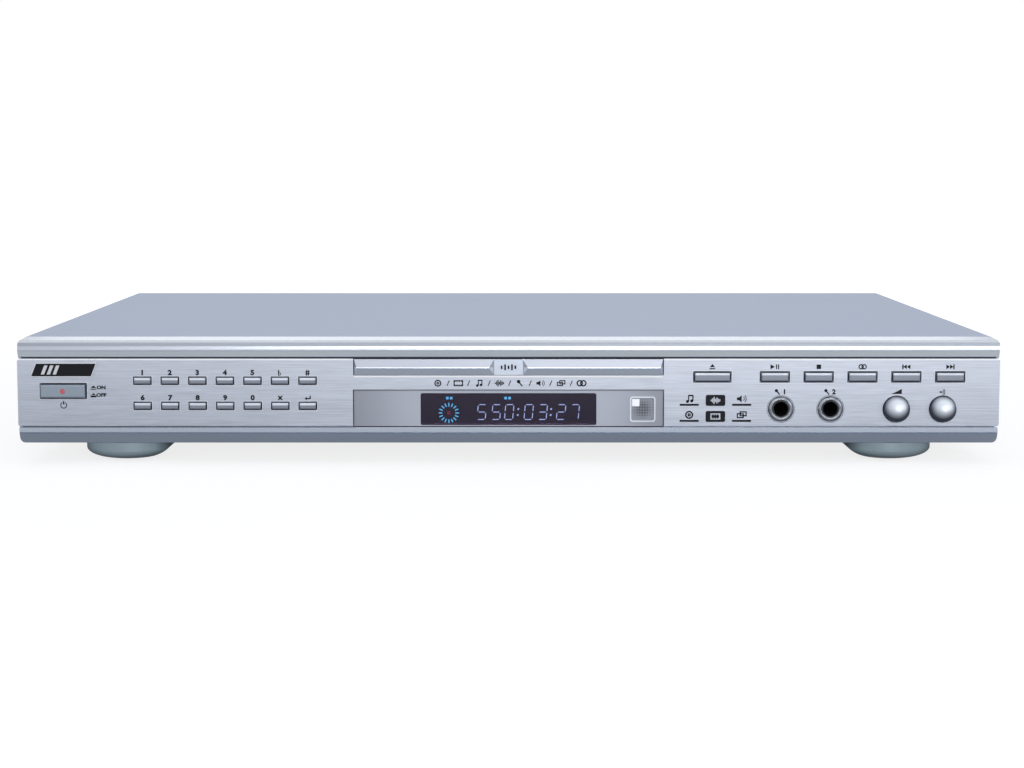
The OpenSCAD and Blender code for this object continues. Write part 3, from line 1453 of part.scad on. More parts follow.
module case_screws() {
    color("dimgray") {
        for (side = [-1, 1])
            for (y = side_screw_y)
                translate([side * (cover_w / 2 + 0.02), y, side_screw_z]) rotate([0, side * 90, 0]) screw();
        for (x = lip_screw_x)
            translate([x, case_d + seam + sheet_t + 0.02, lip_screw_z]) rotate([-90, 0, 0]) screw();
        for (x = rear_screw_x)
            translate([x, rear_flange_y, pan_z - 0.02]) rotate([180, 0, 0]) screw(4);
        for (p = foot_centres)
            translate([p[0], p[1], foot_seat_z - 0.02]) rotate([180, 0, 0]) screw(pan_top + 2 - foot_seat_z);
        for (p = loader_ears)
            translate([p[0], p[1], loader_floor + 3.02]) screw(loader_floor + 3 - pan_z);
        for (p = standoffs)
            translate([p[0], p[1], low_board_z + board_t + 0.02]) screw(low_board_z + board_t - pan_z);
        for (p = mic_standoffs)
            translate([p[0], p[1], mic_board_top + 0.02]) screw(mic_board_top - pan_z);
    }
}

in_case() top_cover();
in_case() chassis_pan();
in_case() rear_panel();
in_case() front_bezel();
in_case() front_plate();
in_case() display_surround();
in_case() display_window();
in_case() sensor_window();
in_case() front_feet();
in_case() rubber_feet();
in_case() case_screws();
for (row = [0, 1])
    for (i = [0:keys_in_row - 1])
        in_case() number_key(row, i);
for (i = [0:len(transport_names) - 1])
    in_case() transport_key(i);
in_case() eject_key();
in_case() power_button();
in_case() knob(0);  // mic_volume_knob
in_case() knob(1);  // echo_knob
in_case() mic_jacks();
in_case() potentiometers();
in_case() front_board();
in_case() display_tube();
in_case() circuit_boards();
in_case() board_components();
in_case() transformer();
in_case() phono_sockets();
in_case() mains_inlet();
in_case() loader_frame();
in_case() disc_tray();
in_case() tray_door();
in_case() drive_gear();
in_case() pulley_gear();
in_case() loading_motor();
in_case() motor_pulley();
in_case() drive_belt();
in_case() cam_slider();
in_case() traverse_frame();
in_case() traverse_motors();
in_case() turntable();
in_case() optical_sled();
in_case() sled_rails();
in_case() sled_pinion();
in_case() clamp_bridge();
in_case() clamp_puck();
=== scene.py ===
"""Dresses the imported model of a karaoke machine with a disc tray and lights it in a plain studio.

The frame brings the construction, in metres, with +Z up and the front towards -Y. A place on the
front panel is written here as (x, height), and a depth counts from the face of the brushed plate.
"""
import logging
import math
from dataclasses import dataclass
from enum import Enum
from functools import cache
from typing import Any, Callable, ClassVar, Iterable, Optional, Sequence, Union

import bpy
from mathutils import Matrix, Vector


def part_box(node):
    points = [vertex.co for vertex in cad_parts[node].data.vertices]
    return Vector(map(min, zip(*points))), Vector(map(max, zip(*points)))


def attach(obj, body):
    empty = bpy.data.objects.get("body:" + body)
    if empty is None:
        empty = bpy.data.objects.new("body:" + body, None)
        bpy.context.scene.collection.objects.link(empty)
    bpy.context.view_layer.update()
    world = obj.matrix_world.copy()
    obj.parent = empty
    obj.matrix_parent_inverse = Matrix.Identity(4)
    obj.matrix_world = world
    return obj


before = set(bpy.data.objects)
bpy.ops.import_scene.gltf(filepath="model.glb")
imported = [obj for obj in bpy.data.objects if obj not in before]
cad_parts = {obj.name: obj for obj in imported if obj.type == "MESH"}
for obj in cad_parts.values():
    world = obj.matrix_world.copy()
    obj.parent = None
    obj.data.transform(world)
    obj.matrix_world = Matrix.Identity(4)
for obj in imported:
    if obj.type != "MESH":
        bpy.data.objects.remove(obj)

log = logging.getLogger("karaoke_machine")

MM = 0.001
INK_PROUD = 0.03 * MM
INK_SUNK = 0.02 * MM
CAP_SHARE = 0.72
FIGURE_BOLDNESS = 0.075
DISC_CORNERS = 24
WHITE = (1.0, 1.0, 1.0, 1.0)
BLACK = (0.0, 0.0, 0.0, 1.0)

Point = tuple[float, float]
Outline = list[Point]
Colour = tuple[float, float, float, float]
Socket = bpy.types.NodeSocket
Feed = Union[Socket, float, Sequence[float]]
Effect = Callable[[], bpy.types.NodeTree]


class Body(str, Enum):
    """The bodies that new pieces ride on."""

    CASE = "case"
    TRAY = "tray"


def srgb(red: int, green: int, blue: int) -> Colour:
    """Turns a colour as it is seen on a screen, 0 to 255, into the linear colour of a shader."""
    def linear(level: int) -> float:
        share = level / 255
        return share / 12.92 if share <= 0.04045 else ((share + 0.055) / 1.055) ** 2.4

    return (linear(red), linear(green), linear(blue), 1.0)


def scaled(colour: Colour, factor: float) -> Colour:
    """Makes a linear colour lighter or darker."""
    return tuple(min(1.0, part * factor) for part in colour[:3]) + (colour[3],)


class Box:
    """A node's box in the frame: its corners, its size, its centre and its place on the panel."""

    def __init__(self, node: str) -> None:
        self.low, self.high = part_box(node)
        self.size = self.high - self.low
        self.middle = (self.low + self.high) / 2
        self.at = (self.middle.x, self.middle.z)

    def over(self, up: float) -> Point:
        """Gives the place of a label above the node's centre."""
        return (self.at[0], self.at[1] + up)


PLATE = Box("front_plate")
FACE, FOOT, TOP = PLATE.low.y, PLATE.low.z, PLATE.high.z


def link(name: str, data: Any, place: Sequence[float] = (0, 0, 0),
         turn: Sequence[float] = (0, 0, 0)) -> bpy.types.Object:
    """Makes an object and links it to the scene."""
    thing = bpy.data.objects.new(name, data)
    thing.location = place
    thing.rotation_euler = turn
    bpy.context.scene.collection.objects.link(thing)
    return thing


def build_mesh(name: str, points: Iterable[Sequence[float]],
               faces: Iterable[Sequence[int]]) -> bpy.types.Object:
    """Makes a mesh object from its corners and faces."""
    mesh = bpy.data.meshes.new(name)
    mesh.from_pydata([tuple(point) for point in points], [], [tuple(face) for face in faces])
    mesh.validate()
    mesh.update()
    return link(name, mesh)


class Wiring:
    """Adds nodes to one tree and links their sockets."""

    def __init__(self, tree: bpy.types.NodeTree) -> None:
        self.tree = tree

    def feed(self, socket: Socket, value: Feed) -> None:
        """Links a socket to an input, or sets the input's plain value."""
        if isinstance(value, bpy.types.NodeSocket):
            self.tree.links.new(value, socket)
        else:
            socket.default_value = value

    def give(self, node: bpy.types.Node, values: dict) -> None:
        """Feeds a node's inputs, by name or by number."""
        for name, value in values.items():
            self.feed(node.inputs[name], value)

    def add(self, kind: str, values: Optional[dict] = None, **settings: Any) -> bpy.types.Node:
        """Adds a shader node of a kind, with its settings, and feeds its inputs."""
        node = self.tree.nodes.new("ShaderNode" + kind)
        for name, setting in settings.items():
            setattr(node, name, setting)
        self.give(node, values or {})
        return node

    def math(self, operation: str, first: Feed, second: Feed = 0.0) -> Socket:
        """Works out one sum."""
        return self.add("Math", {0: first, 1: second}, operation=operation).outputs[0]

    def times(self, first: Feed, second: Feed) -> Socket:
        """Multiplies two values."""
        return self.math("MULTIPLY", first, second)

    def vector(self, operation: str, first: Feed, second: Feed = (0.0, 0.0, 0.0)) -> Socket:
        """Works out one vector sum."""
        node = self.add("VectorMath", {0: first, 1: second}, operation=operation)
        return node.outputs["Value" if operation in ("LENGTH", "DOT_PRODUCT") else "Vector"]

    def ramp(self, value: Feed, low: Feed, high: Feed) -> Socket:
        """Maps low to 0 and high to 1, smoothly and clamped."""
        return self.add("MapRange", {"Value": value, "From Min": low, "From Max": high},
                        interpolation_type="SMOOTHSTEP").outputs[0]

    def spread(self, value: Feed, low: float, high: float) -> Socket:
        """Maps 0 to 1 onto low to high."""
        return self.add("MapRange", {"Value": value, "To Min": low, "To Max": high}).outputs[0]

    def blend(self, share: Feed, first: Feed, second: Feed) -> Socket:
        """Mixes two colours."""
        return self.add("Mix", {0: share, 6: first, 7: second}, data_type="RGBA").outputs[2]

    def sway(self, tone: Feed, colour: Colour, low: float, high: float) -> Socket:
        """Lets a colour sway with a tone, between low and high times its level."""
        return self.blend(tone, scaled(colour, low), scaled(colour, high))

    def mix(self, share: Feed, first: Feed, second: Feed) -> Socket:
        """Mixes two plain values."""
        return self.add("Mix", {0: share, 2: first, 3: second}, data_type="FLOAT").outputs[0]

    def noise(self, place: Socket, scale: Feed, detail: float, roughness: float = 0.5) -> Socket:
        """Gives a soft noise from 0 to 1."""
        return self.add("TexNoise", {"Vector": place, "Scale": scale, "Detail": detail,
                                     "Roughness": roughness}).outputs[0]

    def bump(self, height: Socket, relief: float) -> bpy.types.Node:
        """Raises a fine relief."""
        return self.add("Bump", {"Height": height, "Distance": relief, "Strength": 0.6})

    def place(self) -> Socket:
        """Gives the point's place in the frame, which stays with the piece as it moves."""
        return self.add("TexCoord").outputs["Object"]

    def group(self, effect: Effect, values: dict) -> Any:
        """Places a shared effect with its own values and gives its outputs."""
        node = self.add("Group", node_tree=effect())
        self.give(node, values)
        return node.outputs


def effect(inputs: dict[str, Feed]) -> Callable[[Callable], Effect]:
    """Turns a function that wires inputs to outputs into a shader node group, which is built once."""
    def wrap(draw: Callable[[Wiring, Any], dict[str, Socket]]) -> Effect:
        @cache
        def build() -> bpy.types.NodeTree:
            tree = bpy.data.node_groups.new(draw.__name__, "ShaderNodeTree")
            for title, value in inputs.items():
                kind = "NodeSocketFloat" if isinstance(value, float) else "NodeSocketVector"
                tree.interface.new_socket(title, in_out="INPUT", socket_type=kind).default_value = value
            wiring = Wiring(tree)
            made = draw(wiring, tree.nodes.new("NodeGroupInput").outputs)
            for title, socket in made.items():
                kind = "NodeSocketVector" if socket.type == "VECTOR" else "NodeSocketFloat"
                tree.interface.new_socket(title, in_out="OUTPUT", socket_type=kind)
            wiring.give(tree.nodes.new("NodeGroupOutput"), made)
            return tree
        return build
    return wrap


@effect({"Along": 30.0, "Across": 4000.0})
def brushed_grain(wiring: Wiring, given: Any) -> dict[str, Socket]:
    """Draws fine lines along X: a tone for colour and roughness, and a height."""
    tones = []
    for share, detail in ((1.0, 3.0), (0.31, 2.0)):
        along, across = (wiring.times(given[name], share) for name in ("Along", "Across"))
        stretch = wiring.add("CombineXYZ", {0: along, 1: across, 2: across}).outputs[0]
        tones.append(wiring.noise(wiring.vector("MULTIPLY", wiring.place(), stretch), 1.0, detail, 0.65))
    tone = wiring.math("ADD", wiring.times(tones[0], 0.7), wiring.times(tones[1], 0.3))
    return {"Tone": wiring.ramp(tone, 0.3, 0.7), "Height": tones[0]}


@effect({"Fineness": 2500.0})
def moulded_texture(wiring: Wiring, given: Any) -> dict[str, Socket]:
    """Draws the fine even texture of moulded or painted skin: a tone and a height."""
    fine = wiring.noise(wiring.place(), given["Fineness"], 2.0)
    broad = wiring.noise(wiring.place(), 14.0, 3.0)
    return {"Tone": wiring.math("ADD", wiring.times(fine, 0.4), wiring.times(broad, 0.6)), "Height": fine}


@effect({"Radius": 0.0003})
def edge_wear(wiring: Wiring, given: Any) -> dict[str, Socket]:
    """Rounds the shading of edges, and masks where they have rubbed bright."""
    rounded = wiring.add("Bevel", {"Radius": given["Radius"]}, samples=4).outputs[0]
    true_normal = wiring.add("NewGeometry").outputs["True Normal"]
    edge = wiring.ramp(wiring.vector("DOT_PRODUCT", rounded, true_normal), 0.985, 0.8)
    patches = wiring.ramp(wiring.noise(wiring.place(), 90.0, 4.0), 0.35, 0.6)
    return {"Normal": rounded, "Edge": wiring.times(edge, patches)}


@effect({"Amount": 0.2})
def settled_dust(wiring: Wiring, given: Any) -> dict[str, Socket]:
    """Masks where a thin dust would lie: on what faces up, in patches."""
    up = wiring.add("SeparateXYZ", {0: wiring.add("NewGeometry").outputs["Normal"]}).outputs["Z"]
    broad = wiring.ramp(wiring.noise(wiring.place(), 22.0, 5.0), 0.35, 0.75)
    specks = wiring.ramp(wiring.noise(wiring.place(), 1400.0, 2.0), 0.35, 0.7)
    lying = wiring.times(wiring.times(wiring.ramp(up, 0.55, 1.0), broad), specks)
    return {"Mask": wiring.times(lying, given["Amount"])}


@effect({"Centre": (0.0, 0.0, 0.0), "Half": (0.001, 0.001, 0.001)})
def box_mask(wiring: Wiring, given: Any) -> dict[str, Socket]:
    """Masks what lies inside a box of the frame."""
    off = wiring.vector("ABSOLUTE", wiring.vector("SUBTRACT", wiring.place(), given["Centre"]))
    parts = wiring.add("SeparateXYZ", {0: wiring.vector("SUBTRACT", off, given["Half"])}).outputs
    worst = wiring.math("MAXIMUM", wiring.math("MAXIMUM", parts[0], parts[1]), parts[2])
    return {"Mask": wiring.ramp(worst, 0.00006, -0.00006)}


@effect({"Centre": (0.0, 0.0, 0.0), "Radius": 0.004})
def round_mask(wiring: Wiring, given: Any) -> dict[str, Socket]:
    """Masks what lies within a radius of a line along Y."""
    off = wiring.vector("SUBTRACT", wiring.place(), given["Centre"])
    away = wiring.vector("LENGTH", wiring.vector("MULTIPLY", off, (1.0, 0.0, 1.0)))
    return {"Mask": wiring.ramp(wiring.math("SUBTRACT", away, given["Radius"]), 0.00005, -0.00005)}


def new_material(name: str) -> tuple[bpy.types.Material, Wiring, bpy.types.Node]:
    """Makes a material and gives its wiring and its shader with it."""
    material = bpy.data.materials.new(name)
    material.use_nodes = True
    return material, Wiring(material.node_tree), material.node_tree.nodes["Principled BSDF"]


class Studio:
    """The camera, the lamps, the white surroundings and the floor."""

    camera_x = -1.98 * MM
    camera_ahead = 779.3 * MM
    camera_height = 137.3 * MM
    tilt_down = math.radians(5.0)
    lens = {"lens": 62.97, "sensor_width": 36.0, "shift_x": 0.00779, "shift_y": -0.07382,
            "clip_start": 0.01}
    lamps = (
        ("front_lamp", (0.26, -1.9, 0.5), (75, 0, 8), (1.0, 0.5), 13.0),
        ("left_lamp", (-1.7, -1.0, 0.7), (65, 0, -58), (0.9, 0.9), 1.6),
        ("right_lamp", (1.7, -1.0, 0.7), (65, 0, 58), (0.9, 0.9), 5.0),
        ("top_lamp", (0.1, 0.1, 1.7), (0, 0, 0), (2.2, 1.4), 3.0),
        ("back_lamp", (0.0, 1.9, 0.9), (-62, 0, 0), (1.6, 0.8), 4.0),
    )
    sky_stops = ((0.0, 120, 128, 140), (0.46, 180, 186, 196), (0.52, 208, 212, 220),
                 (0.72, 206, 211, 219), (0.86, 250, 251, 253), (1.0, 244, 246, 250))

    def set_up(self) -> None:
        """Puts everything in its place."""
        self.place_camera()
        self.surround()
        self.light()
        self.lay_floor()

    def place_camera(self) -> None:
        """Puts the camera where the photograph was taken from, and shows colours as they are written."""
        bpy.context.scene.view_settings.view_transform = "Standard"
        data = bpy.data.cameras.new("camera")
        for name, value in self.lens.items():
            setattr(data, name, value)
        place = (self.camera_x, FACE - self.camera_ahead, self.camera_height)
        bpy.context.scene.camera = link("camera", data, place, (math.pi / 2 - self.tilt_down, 0, 0))
        log.info("camera %.0f mm ahead of the plate", self.camera_ahead / MM)

    def light(self) -> None:
        """Hangs the lamps."""
        for name, place, turn, size, power in self.lamps:
            data = bpy.data.lights.new(name, "AREA")
            data.shape = "RECTANGLE"
            data.size, data.size_y = size
            data.energy = power
            link(name, data, place, [math.radians(angle) for angle in turn])

    def surround(self) -> None:
        """Gives the world a white that is seen, a sky that is mirrored, and a softer grey that lights."""
        world = bpy.data.worlds.new("studio_world")
        bpy.context.scene.world = world
        world.use_nodes = True
        world.node_tree.nodes.clear()
        wiring = Wiring(world.node_tree)
        path = wiring.add("LightPath").outputs
        seen = wiring.math("MAXIMUM", path["Is Camera Ray"], path["Is Glossy Ray"])
        seen = wiring.math("MAXIMUM", seen, path["Is Transmission Ray"])
        lit, white, mirrored = (
            wiring.add("Background", {"Color": colour, "Strength": strength}).outputs[0]
            for colour, strength in ((srgb(224, 230, 240), 0.73), (WHITE, 1.0), (self.sky(wiring), 1.0)))
        shown = wiring.add("MixShader", {0: path["Is Camera Ray"], 1: mirrored, 2: white}).outputs[0]
        both = wiring.add("MixShader", {0: seen, 1: lit, 2: shown}).outputs[0]
        wiring.add("OutputWorld", {"Surface": both})

    def sky(self, wiring: Wiring) -> Socket:
        """Shades what metal mirrors from a grey below to a white above."""
        height = wiring.add("SeparateXYZ", {0: wiring.add("TexCoord").outputs["Generated"]}).outputs["Z"]
        ramp = wiring.add("ValToRGB", {0: wiring.times(wiring.math("ADD", height, 1.0), 0.5)})
        elements = ramp.color_ramp.elements
        for number, (place, *tone) in enumerate(self.sky_stops):
            stop = elements[number] if number < 2 else elements.new(place)
            stop.position = place
            stop.color = srgb(*tone)
        return ramp.outputs[0]

    def lay_floor(self) -> None:
        """Lays a pale floor that keeps the machine's shadow."""
        floor = build_mesh("studio_floor", [(-4, -4, 0), (4, -4, 0), (4, 4, 0), (-4, 4, 0)], [(0, 1, 2, 3)])
        material, wiring, shader = new_material("studio_floor_paper")
        path = wiring.add("LightPath").outputs
        away = wiring.vector("LENGTH", wiring.place())
        seen_glow = wiring.blend(wiring.ramp(away, 0.35, 1.1), srgb(232, 232, 232), WHITE)
        mirrored = wiring.math("MAXIMUM", path["Is Glossy Ray"], path["Is Transmission Ray"])
        # Metal mirrors the floor darker near the machine: a painted shade that stands in for its shadow.
        mirrored_floor_painted_shade = wiring.blend(wiring.ramp(away, 0.25, 0.8), srgb(112, 116, 122), WHITE)
        glow = wiring.blend(mirrored, BLACK, mirrored_floor_painted_shade)
        tone = wiring.noise(wiring.place(), 900.0, 3.0)
        wiring.give(shader, {
            "Base Color": wiring.blend(tone, srgb(132, 132, 133), srgb(138, 138, 139)), "Roughness": 0.9,
            "Specular IOR Level": 0.0, "Emission Strength": 1.0,
            "Emission Color": wiring.blend(path["Is Camera Ray"], glow, seen_glow)})
        floor.data.materials.append(material)


@dataclass(frozen=True)
class Zone:
    """A part of a node with its own colour: a box, or a round bar along Y where radius is set."""

    centre: tuple[float, ...]
    half: tuple[float, ...]
    colour: Colour
    radius: float = 0.0
    metallic: float = 0.0
    roughness: float = 0.5

    def mask(self, wiring: Wiring) -> Socket:
        """Masks what the zone holds."""
        if self.radius:
            return wiring.group(round_mask, {"Centre": self.centre, "Radius": self.radius})["Mask"]
        return wiring.group(box_mask, {"Centre": self.centre, "Half": self.half})["Mask"]


def block(first: Sequence[float], last: Sequence[float], colour: Colour, **gloss: float) -> Zone:
    """Makes a box zone between two opposite corners."""
    centre = tuple((a + b) / 2 for a, b in zip(first, last))
    half = tuple(abs(a - b) / 2 for a, b in zip(first, last))
    return Zone(centre, half, colour, **gloss)


def rod(at: Point, radius: float, colour: Colour, **gloss: float) -> Zone:
    """Makes a round zone that runs through the whole depth at a place."""
    return Zone((at[0], 0.0, at[1]), (0.0, 0.0, 0.0), colour, radius=radius, **gloss)


@dataclass(frozen=True)
class Finish:
    """A surface finish: the shader's plain values, and the effects laid over them."""

    name: str
    colour: Colour
    roughness: float = 0.5
    metallic: float = 0.0
    specular: float = 0.5
    coat: float = 0.0
    tone: float = 0.06
    fineness: float = 2500.0
    relief: float = 0.00001
    edge: float = 0.00025
    wear: float = 0.12
    dust: float = 0.0
    zones: tuple[Zone, ...] = ()
    coat_roughness: ClassVar[float] = 0.08
    rubbed_brighter: ClassVar[float] = 1.6
    dust_colour: ClassVar[Colour] = srgb(196, 194, 188)
    dust_roughness: ClassVar[float] = 0.9

    @cache
    def build(self) -> bpy.types.Material:
        """Makes the material, once for all the pieces that share it."""
        material, wiring, shader = new_material(self.name)
        wiring.give(shader, {"Specular IOR Level": self.specular, "Coat Weight": self.coat,
                             "Coat Roughness": self.coat_roughness})
        self.lay(wiring, shader)
        return material

    def grain(self, wiring: Wiring) -> tuple[Socket, Socket]:
        """Gives the finish's fine tone and height."""
        texture = wiring.group(moulded_texture, {"Fineness": self.fineness})
        return texture["Tone"], texture["Height"]

    def shade(self, wiring: Wiring, tone: Socket) -> Socket:
        """Lets the finish's colour sway with its tone."""
        return wiring.sway(tone, self.colour, 1 - self.tone, 1 + self.tone)

    def lay(self, wiring: Wiring, shader: bpy.types.Node) -> None:
        """Lays colour, zones, worn edges, dust and relief on the shader."""
        tone, height = self.grain(wiring)
        colour = self.shade(wiring, tone)
        swing = min(0.04, self.tone)
        rough = wiring.spread(tone, self.roughness - swing, self.roughness + swing)
        metal: Feed = self.metallic
        for zone in self.zones:
            mask = zone.mask(wiring)
            colour = wiring.blend(mask, colour, wiring.sway(tone, zone.colour, 0.9, 1.1))
            rough = wiring.mix(mask, rough, zone.roughness)
            metal = wiring.mix(mask, metal, zone.metallic)
        bump = wiring.bump(height, self.relief)
        if self.edge:
            worn = wiring.group(edge_wear, {"Radius": self.edge})
            rubbed = wiring.times(worn["Edge"], self.wear)
            colour = wiring.blend(rubbed, colour, scaled(self.colour, self.rubbed_brighter))
            wiring.feed(bump.inputs["Normal"], worn["Normal"])
        if self.dust:
            lying = wiring.group(settled_dust, {"Amount": self.dust})["Mask"]
            colour = wiring.blend(lying, colour, self.dust_colour)
            rough = wiring.mix(lying, rough, self.dust_roughness)
        wiring.give(shader, {"Base Color": colour, "Roughness": rough, "Metallic": metal,
                             "Normal": bump.outputs[0]})


@dataclass(frozen=True)
class Brushed(Finish):
    """Metal brushed along X, a little lighter where the grain is open."""

    along: float = 32.0
    across: float = 4400.0

    def grain(self, wiring: Wiring) -> tuple[Socket, Socket]:
        """Gives the brush lines."""
        lines = wiring.group(brushed_grain, {"Along": self.along, "Across": self.across})
        return lines["Tone"], lines["Height"]


@dataclass(frozen=True)
class Turned(Finish):
    """Bright metal with painted light where it faces along its axis and painted shade round its rim."""

    # The axis sets where the painted light falls; the rim colour is the painted shade.
    axis: tuple[float, float, float] = (0.0, 1.0, 0.0)
    dark_below: float = 0.2
    light_above: float = 0.8
    rim_colour: Colour = BLACK

    def lay(self, wiring: Wiring, shader: bpy.types.Node) -> None:
        """Lays the metal with its painted light and its painted shade round the rim, and a faint grain."""
        tone, height = self.grain(wiring)
        normal = wiring.add("NewGeometry").outputs["Normal"]
        facing = wiring.math("ABSOLUTE", wiring.vector("DOT_PRODUCT", normal, self.axis))
        # Painted light and shade: lighter where the normal faces the axis, the rim colour where it turns
        # away.
        light = wiring.ramp(facing, self.dark_below, self.light_above)
        wiring.give(shader, {
            "Base Color": wiring.blend(light, self.rim_colour, self.shade(wiring, tone)),
            "Roughness": wiring.spread(tone, self.roughness - 0.03, self.roughness + 0.03),
            "Metallic": self.metallic, "Normal": wiring.bump(height, self.relief).outputs[0]})


@dataclass(frozen=True)
class Fading(Finish):
    """A satin coat that is lighter beside the display and darker towards its ends."""

    light_until: float = 40 * MM
    dark_from: float = 70 * MM

    def grain(self, wiring: Wiring) -> tuple[Socket, Socket]:
        """Gives the coat's texture and its slow change along X."""
        tone, height = super().grain(wiring)
        across = wiring.add("SeparateXYZ", {0: wiring.place()}).outputs["X"]
        light = wiring.ramp(wiring.math("ABSOLUTE", across), self.dark_from, self.light_until)
        return wiring.math("ADD", wiring.times(tone, 0.15), wiring.times(light, 0.85)), height


@dataclass(frozen=True)
class Laminate(Finish):
    """A circuit board: solder mask over tracks, with bare pads."""

    def grain(self, wiring: Wiring) -> tuple[Socket, Socket]:
        """Gives the tracks as a tone and a height."""
        place = wiring.vector("MULTIPLY", wiring.place(), (1.0, 0.4, 1.0))
        cells = wiring.add("TexVoronoi", {"Vector": place, "Scale": 260.0}, distance="CHEBYCHEV")
        tracks = wiring.ramp(cells.outputs["Distance"], 0.42, 0.46)
        return tracks, tracks


@dataclass(frozen=True)
class ClearPlastic(Finish):
    """Tinted plastic that light passes through."""

    def lay(self, wiring: Wiring, shader: bpy.types.Node) -> None:
        """Lays a fine smear on the gloss, and lets light through."""
        smear = wiring.noise(wiring.place(), 60.0, 5.0)
        wiring.give(shader, {"Transmission Weight": 0.9, "IOR": 1.49, "Metallic": 0.0,
                             "Base Color": wiring.sway(smear, self.colour, 0.94, 1.06),
                             "Roughness": wiring.spread(smear, 0.02, 0.05)})


@dataclass(frozen=True)
class Glow(Finish):
    """A lit phosphor or lamp, a little uneven."""

    strength: float = 3.0

    def lay(self, wiring: Wiring, shader: bpy.types.Node) -> None:
        """Lets the surface glow."""
        tone, height = self.grain(wiring)
        shade = wiring.sway(tone, self.colour, 0.8, 1.1)
        wiring.give(shader, {"Base Color": shade, "Emission Color": shade, "Emission Strength": self.strength,
                             "Roughness": wiring.spread(height, 0.4, 0.6)})


@dataclass(frozen=True)
class Ink(Finish):
    """Printed ink, a little thin in places."""

    def lay(self, wiring: Wiring, shader: bpy.types.Node) -> None:
        """Lays the ink's colour with its thin spots."""
        tone, height = self.grain(wiring)
        shade = wiring.sway(tone, self.colour, 0.8, 1.3)
        thin = wiring.ramp(height, 0.62, 0.8)
        wiring.give(shader, {"Base Color": wiring.blend(thin, shade, srgb(62, 64, 72)),
                             "Roughness": wiring.spread(tone, 0.4, 0.6)})


def paint(finish: Finish, *nodes: str) -> None:
    """Lays a finish on nodes of the frame."""
    for node in nodes:
        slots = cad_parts[node].material_slots
        for number in range(len(slots)):
            slots[number].material = finish.build()
        log.info("node %s has the finish %s", node, finish.name)


def arc(x: float, y: float, radius: float, first: float, last: float, steps: int = 12) -> Outline:
    """Lists points along an arc, its angles in degrees."""
    angles = [math.radians(first + (last - first) * step / steps) for step in range(steps + 1)]
    return [(x + radius * math.cos(angle), y + radius * math.sin(angle)) for angle in angles]


def bar(start: Point, end: Point, width: float) -> Outline:
    """Outlines a straight stroke with square ends."""
    along = Vector((end[0] - start[0], end[1] - start[1]))
    side = Vector((-along.y, along.x)).normalized() * width / 2
    return [(start[0] - side.x, start[1] - side.y), (end[0] - side.x, end[1] - side.y),
            (end[0] + side.x, end[1] + side.y), (start[0] + side.x, start[1] + side.y)]


def post(x: float, low: float, high: float, width: float) -> Outline:
    """Outlines an upright stroke."""
    return bar((x, low), (x, high), width)


def beam(y: float, left: float, right: float, width: float) -> Outline:
    """Outlines a level stroke."""
    return bar((left, y), (right, y), width)


def disc(x: float, y: float, radius: float) -> Outline:
    """Outlines a disc."""
    return arc(x, y, radius, 0, 360 - 360 / DISC_CORNERS, DISC_CORNERS - 1)


def band(x: float, y: float, radius: float, width: float, first: float = 0.0,
         last: float = 360.0) -> list[Outline]:
    """Outlines a curved stroke as two halves, so that a full ring has no hole."""
    middle = (first + last) / 2
    return [arc(x, y, radius + width / 2, low, high) + arc(x, y, radius - width / 2, high, low)
            for low, high in ((first, middle), (middle, last))]


def frame_of(x: float, y: float, width: float, height: float, line: float) -> list[Outline]:
    """Outlines a rectangular frame as four strokes: the lower, upper, left and right one."""
    left, right = x - width / 2, x + width / 2
    low, high = y - height / 2, y + height / 2
    return [beam(low + line / 2, left, right, line), beam(high - line / 2, left, right, line),
            post(left + line / 2, low + line, high - line, line),
            post(right - line / 2, low + line, high - line, line)]


def oblong(width: float, height: float, radius: float) -> Outline:
    """Outlines a rectangle with round corners, centred."""
    across, up = width / 2 - radius, height / 2 - radius
    corners = ((across, up), (-across, up), (-across, -up), (across, -up))
    return [point for number, (x, y) in enumerate(corners)
            for point in arc(x, y, radius, number * 90, number * 90 + 90, 6)]


def leaning(centre: Point, size: Point, slope: float) -> Outline:
    """Outlines a parallelogram whose sides lean to the right by a slope."""
    across, up = size[0] / 2, size[1] / 2
    corners = ((-1, -1), (1, -1), (1, 1), (-1, 1))
    return [(centre[0] + side * across + end * up * slope, centre[1] + end * up) for side, end in corners]


def placed(outline: Outline, at: Point, size: float = 1.0) -> Outline:
    """Brings an outline drawn around the origin to its place and size."""
    return [(at[0] + x * size, at[1] + height * size) for x, height in outline]


def signed_area(outline: Outline) -> float:
    """Gives an outline's area, above 0 where it runs anticlockwise as the camera sees it."""
    return sum(a[0] * b[1] - b[0] * a[1] for a, b in zip(outline, outline[1:] + outline[:1])) / 2


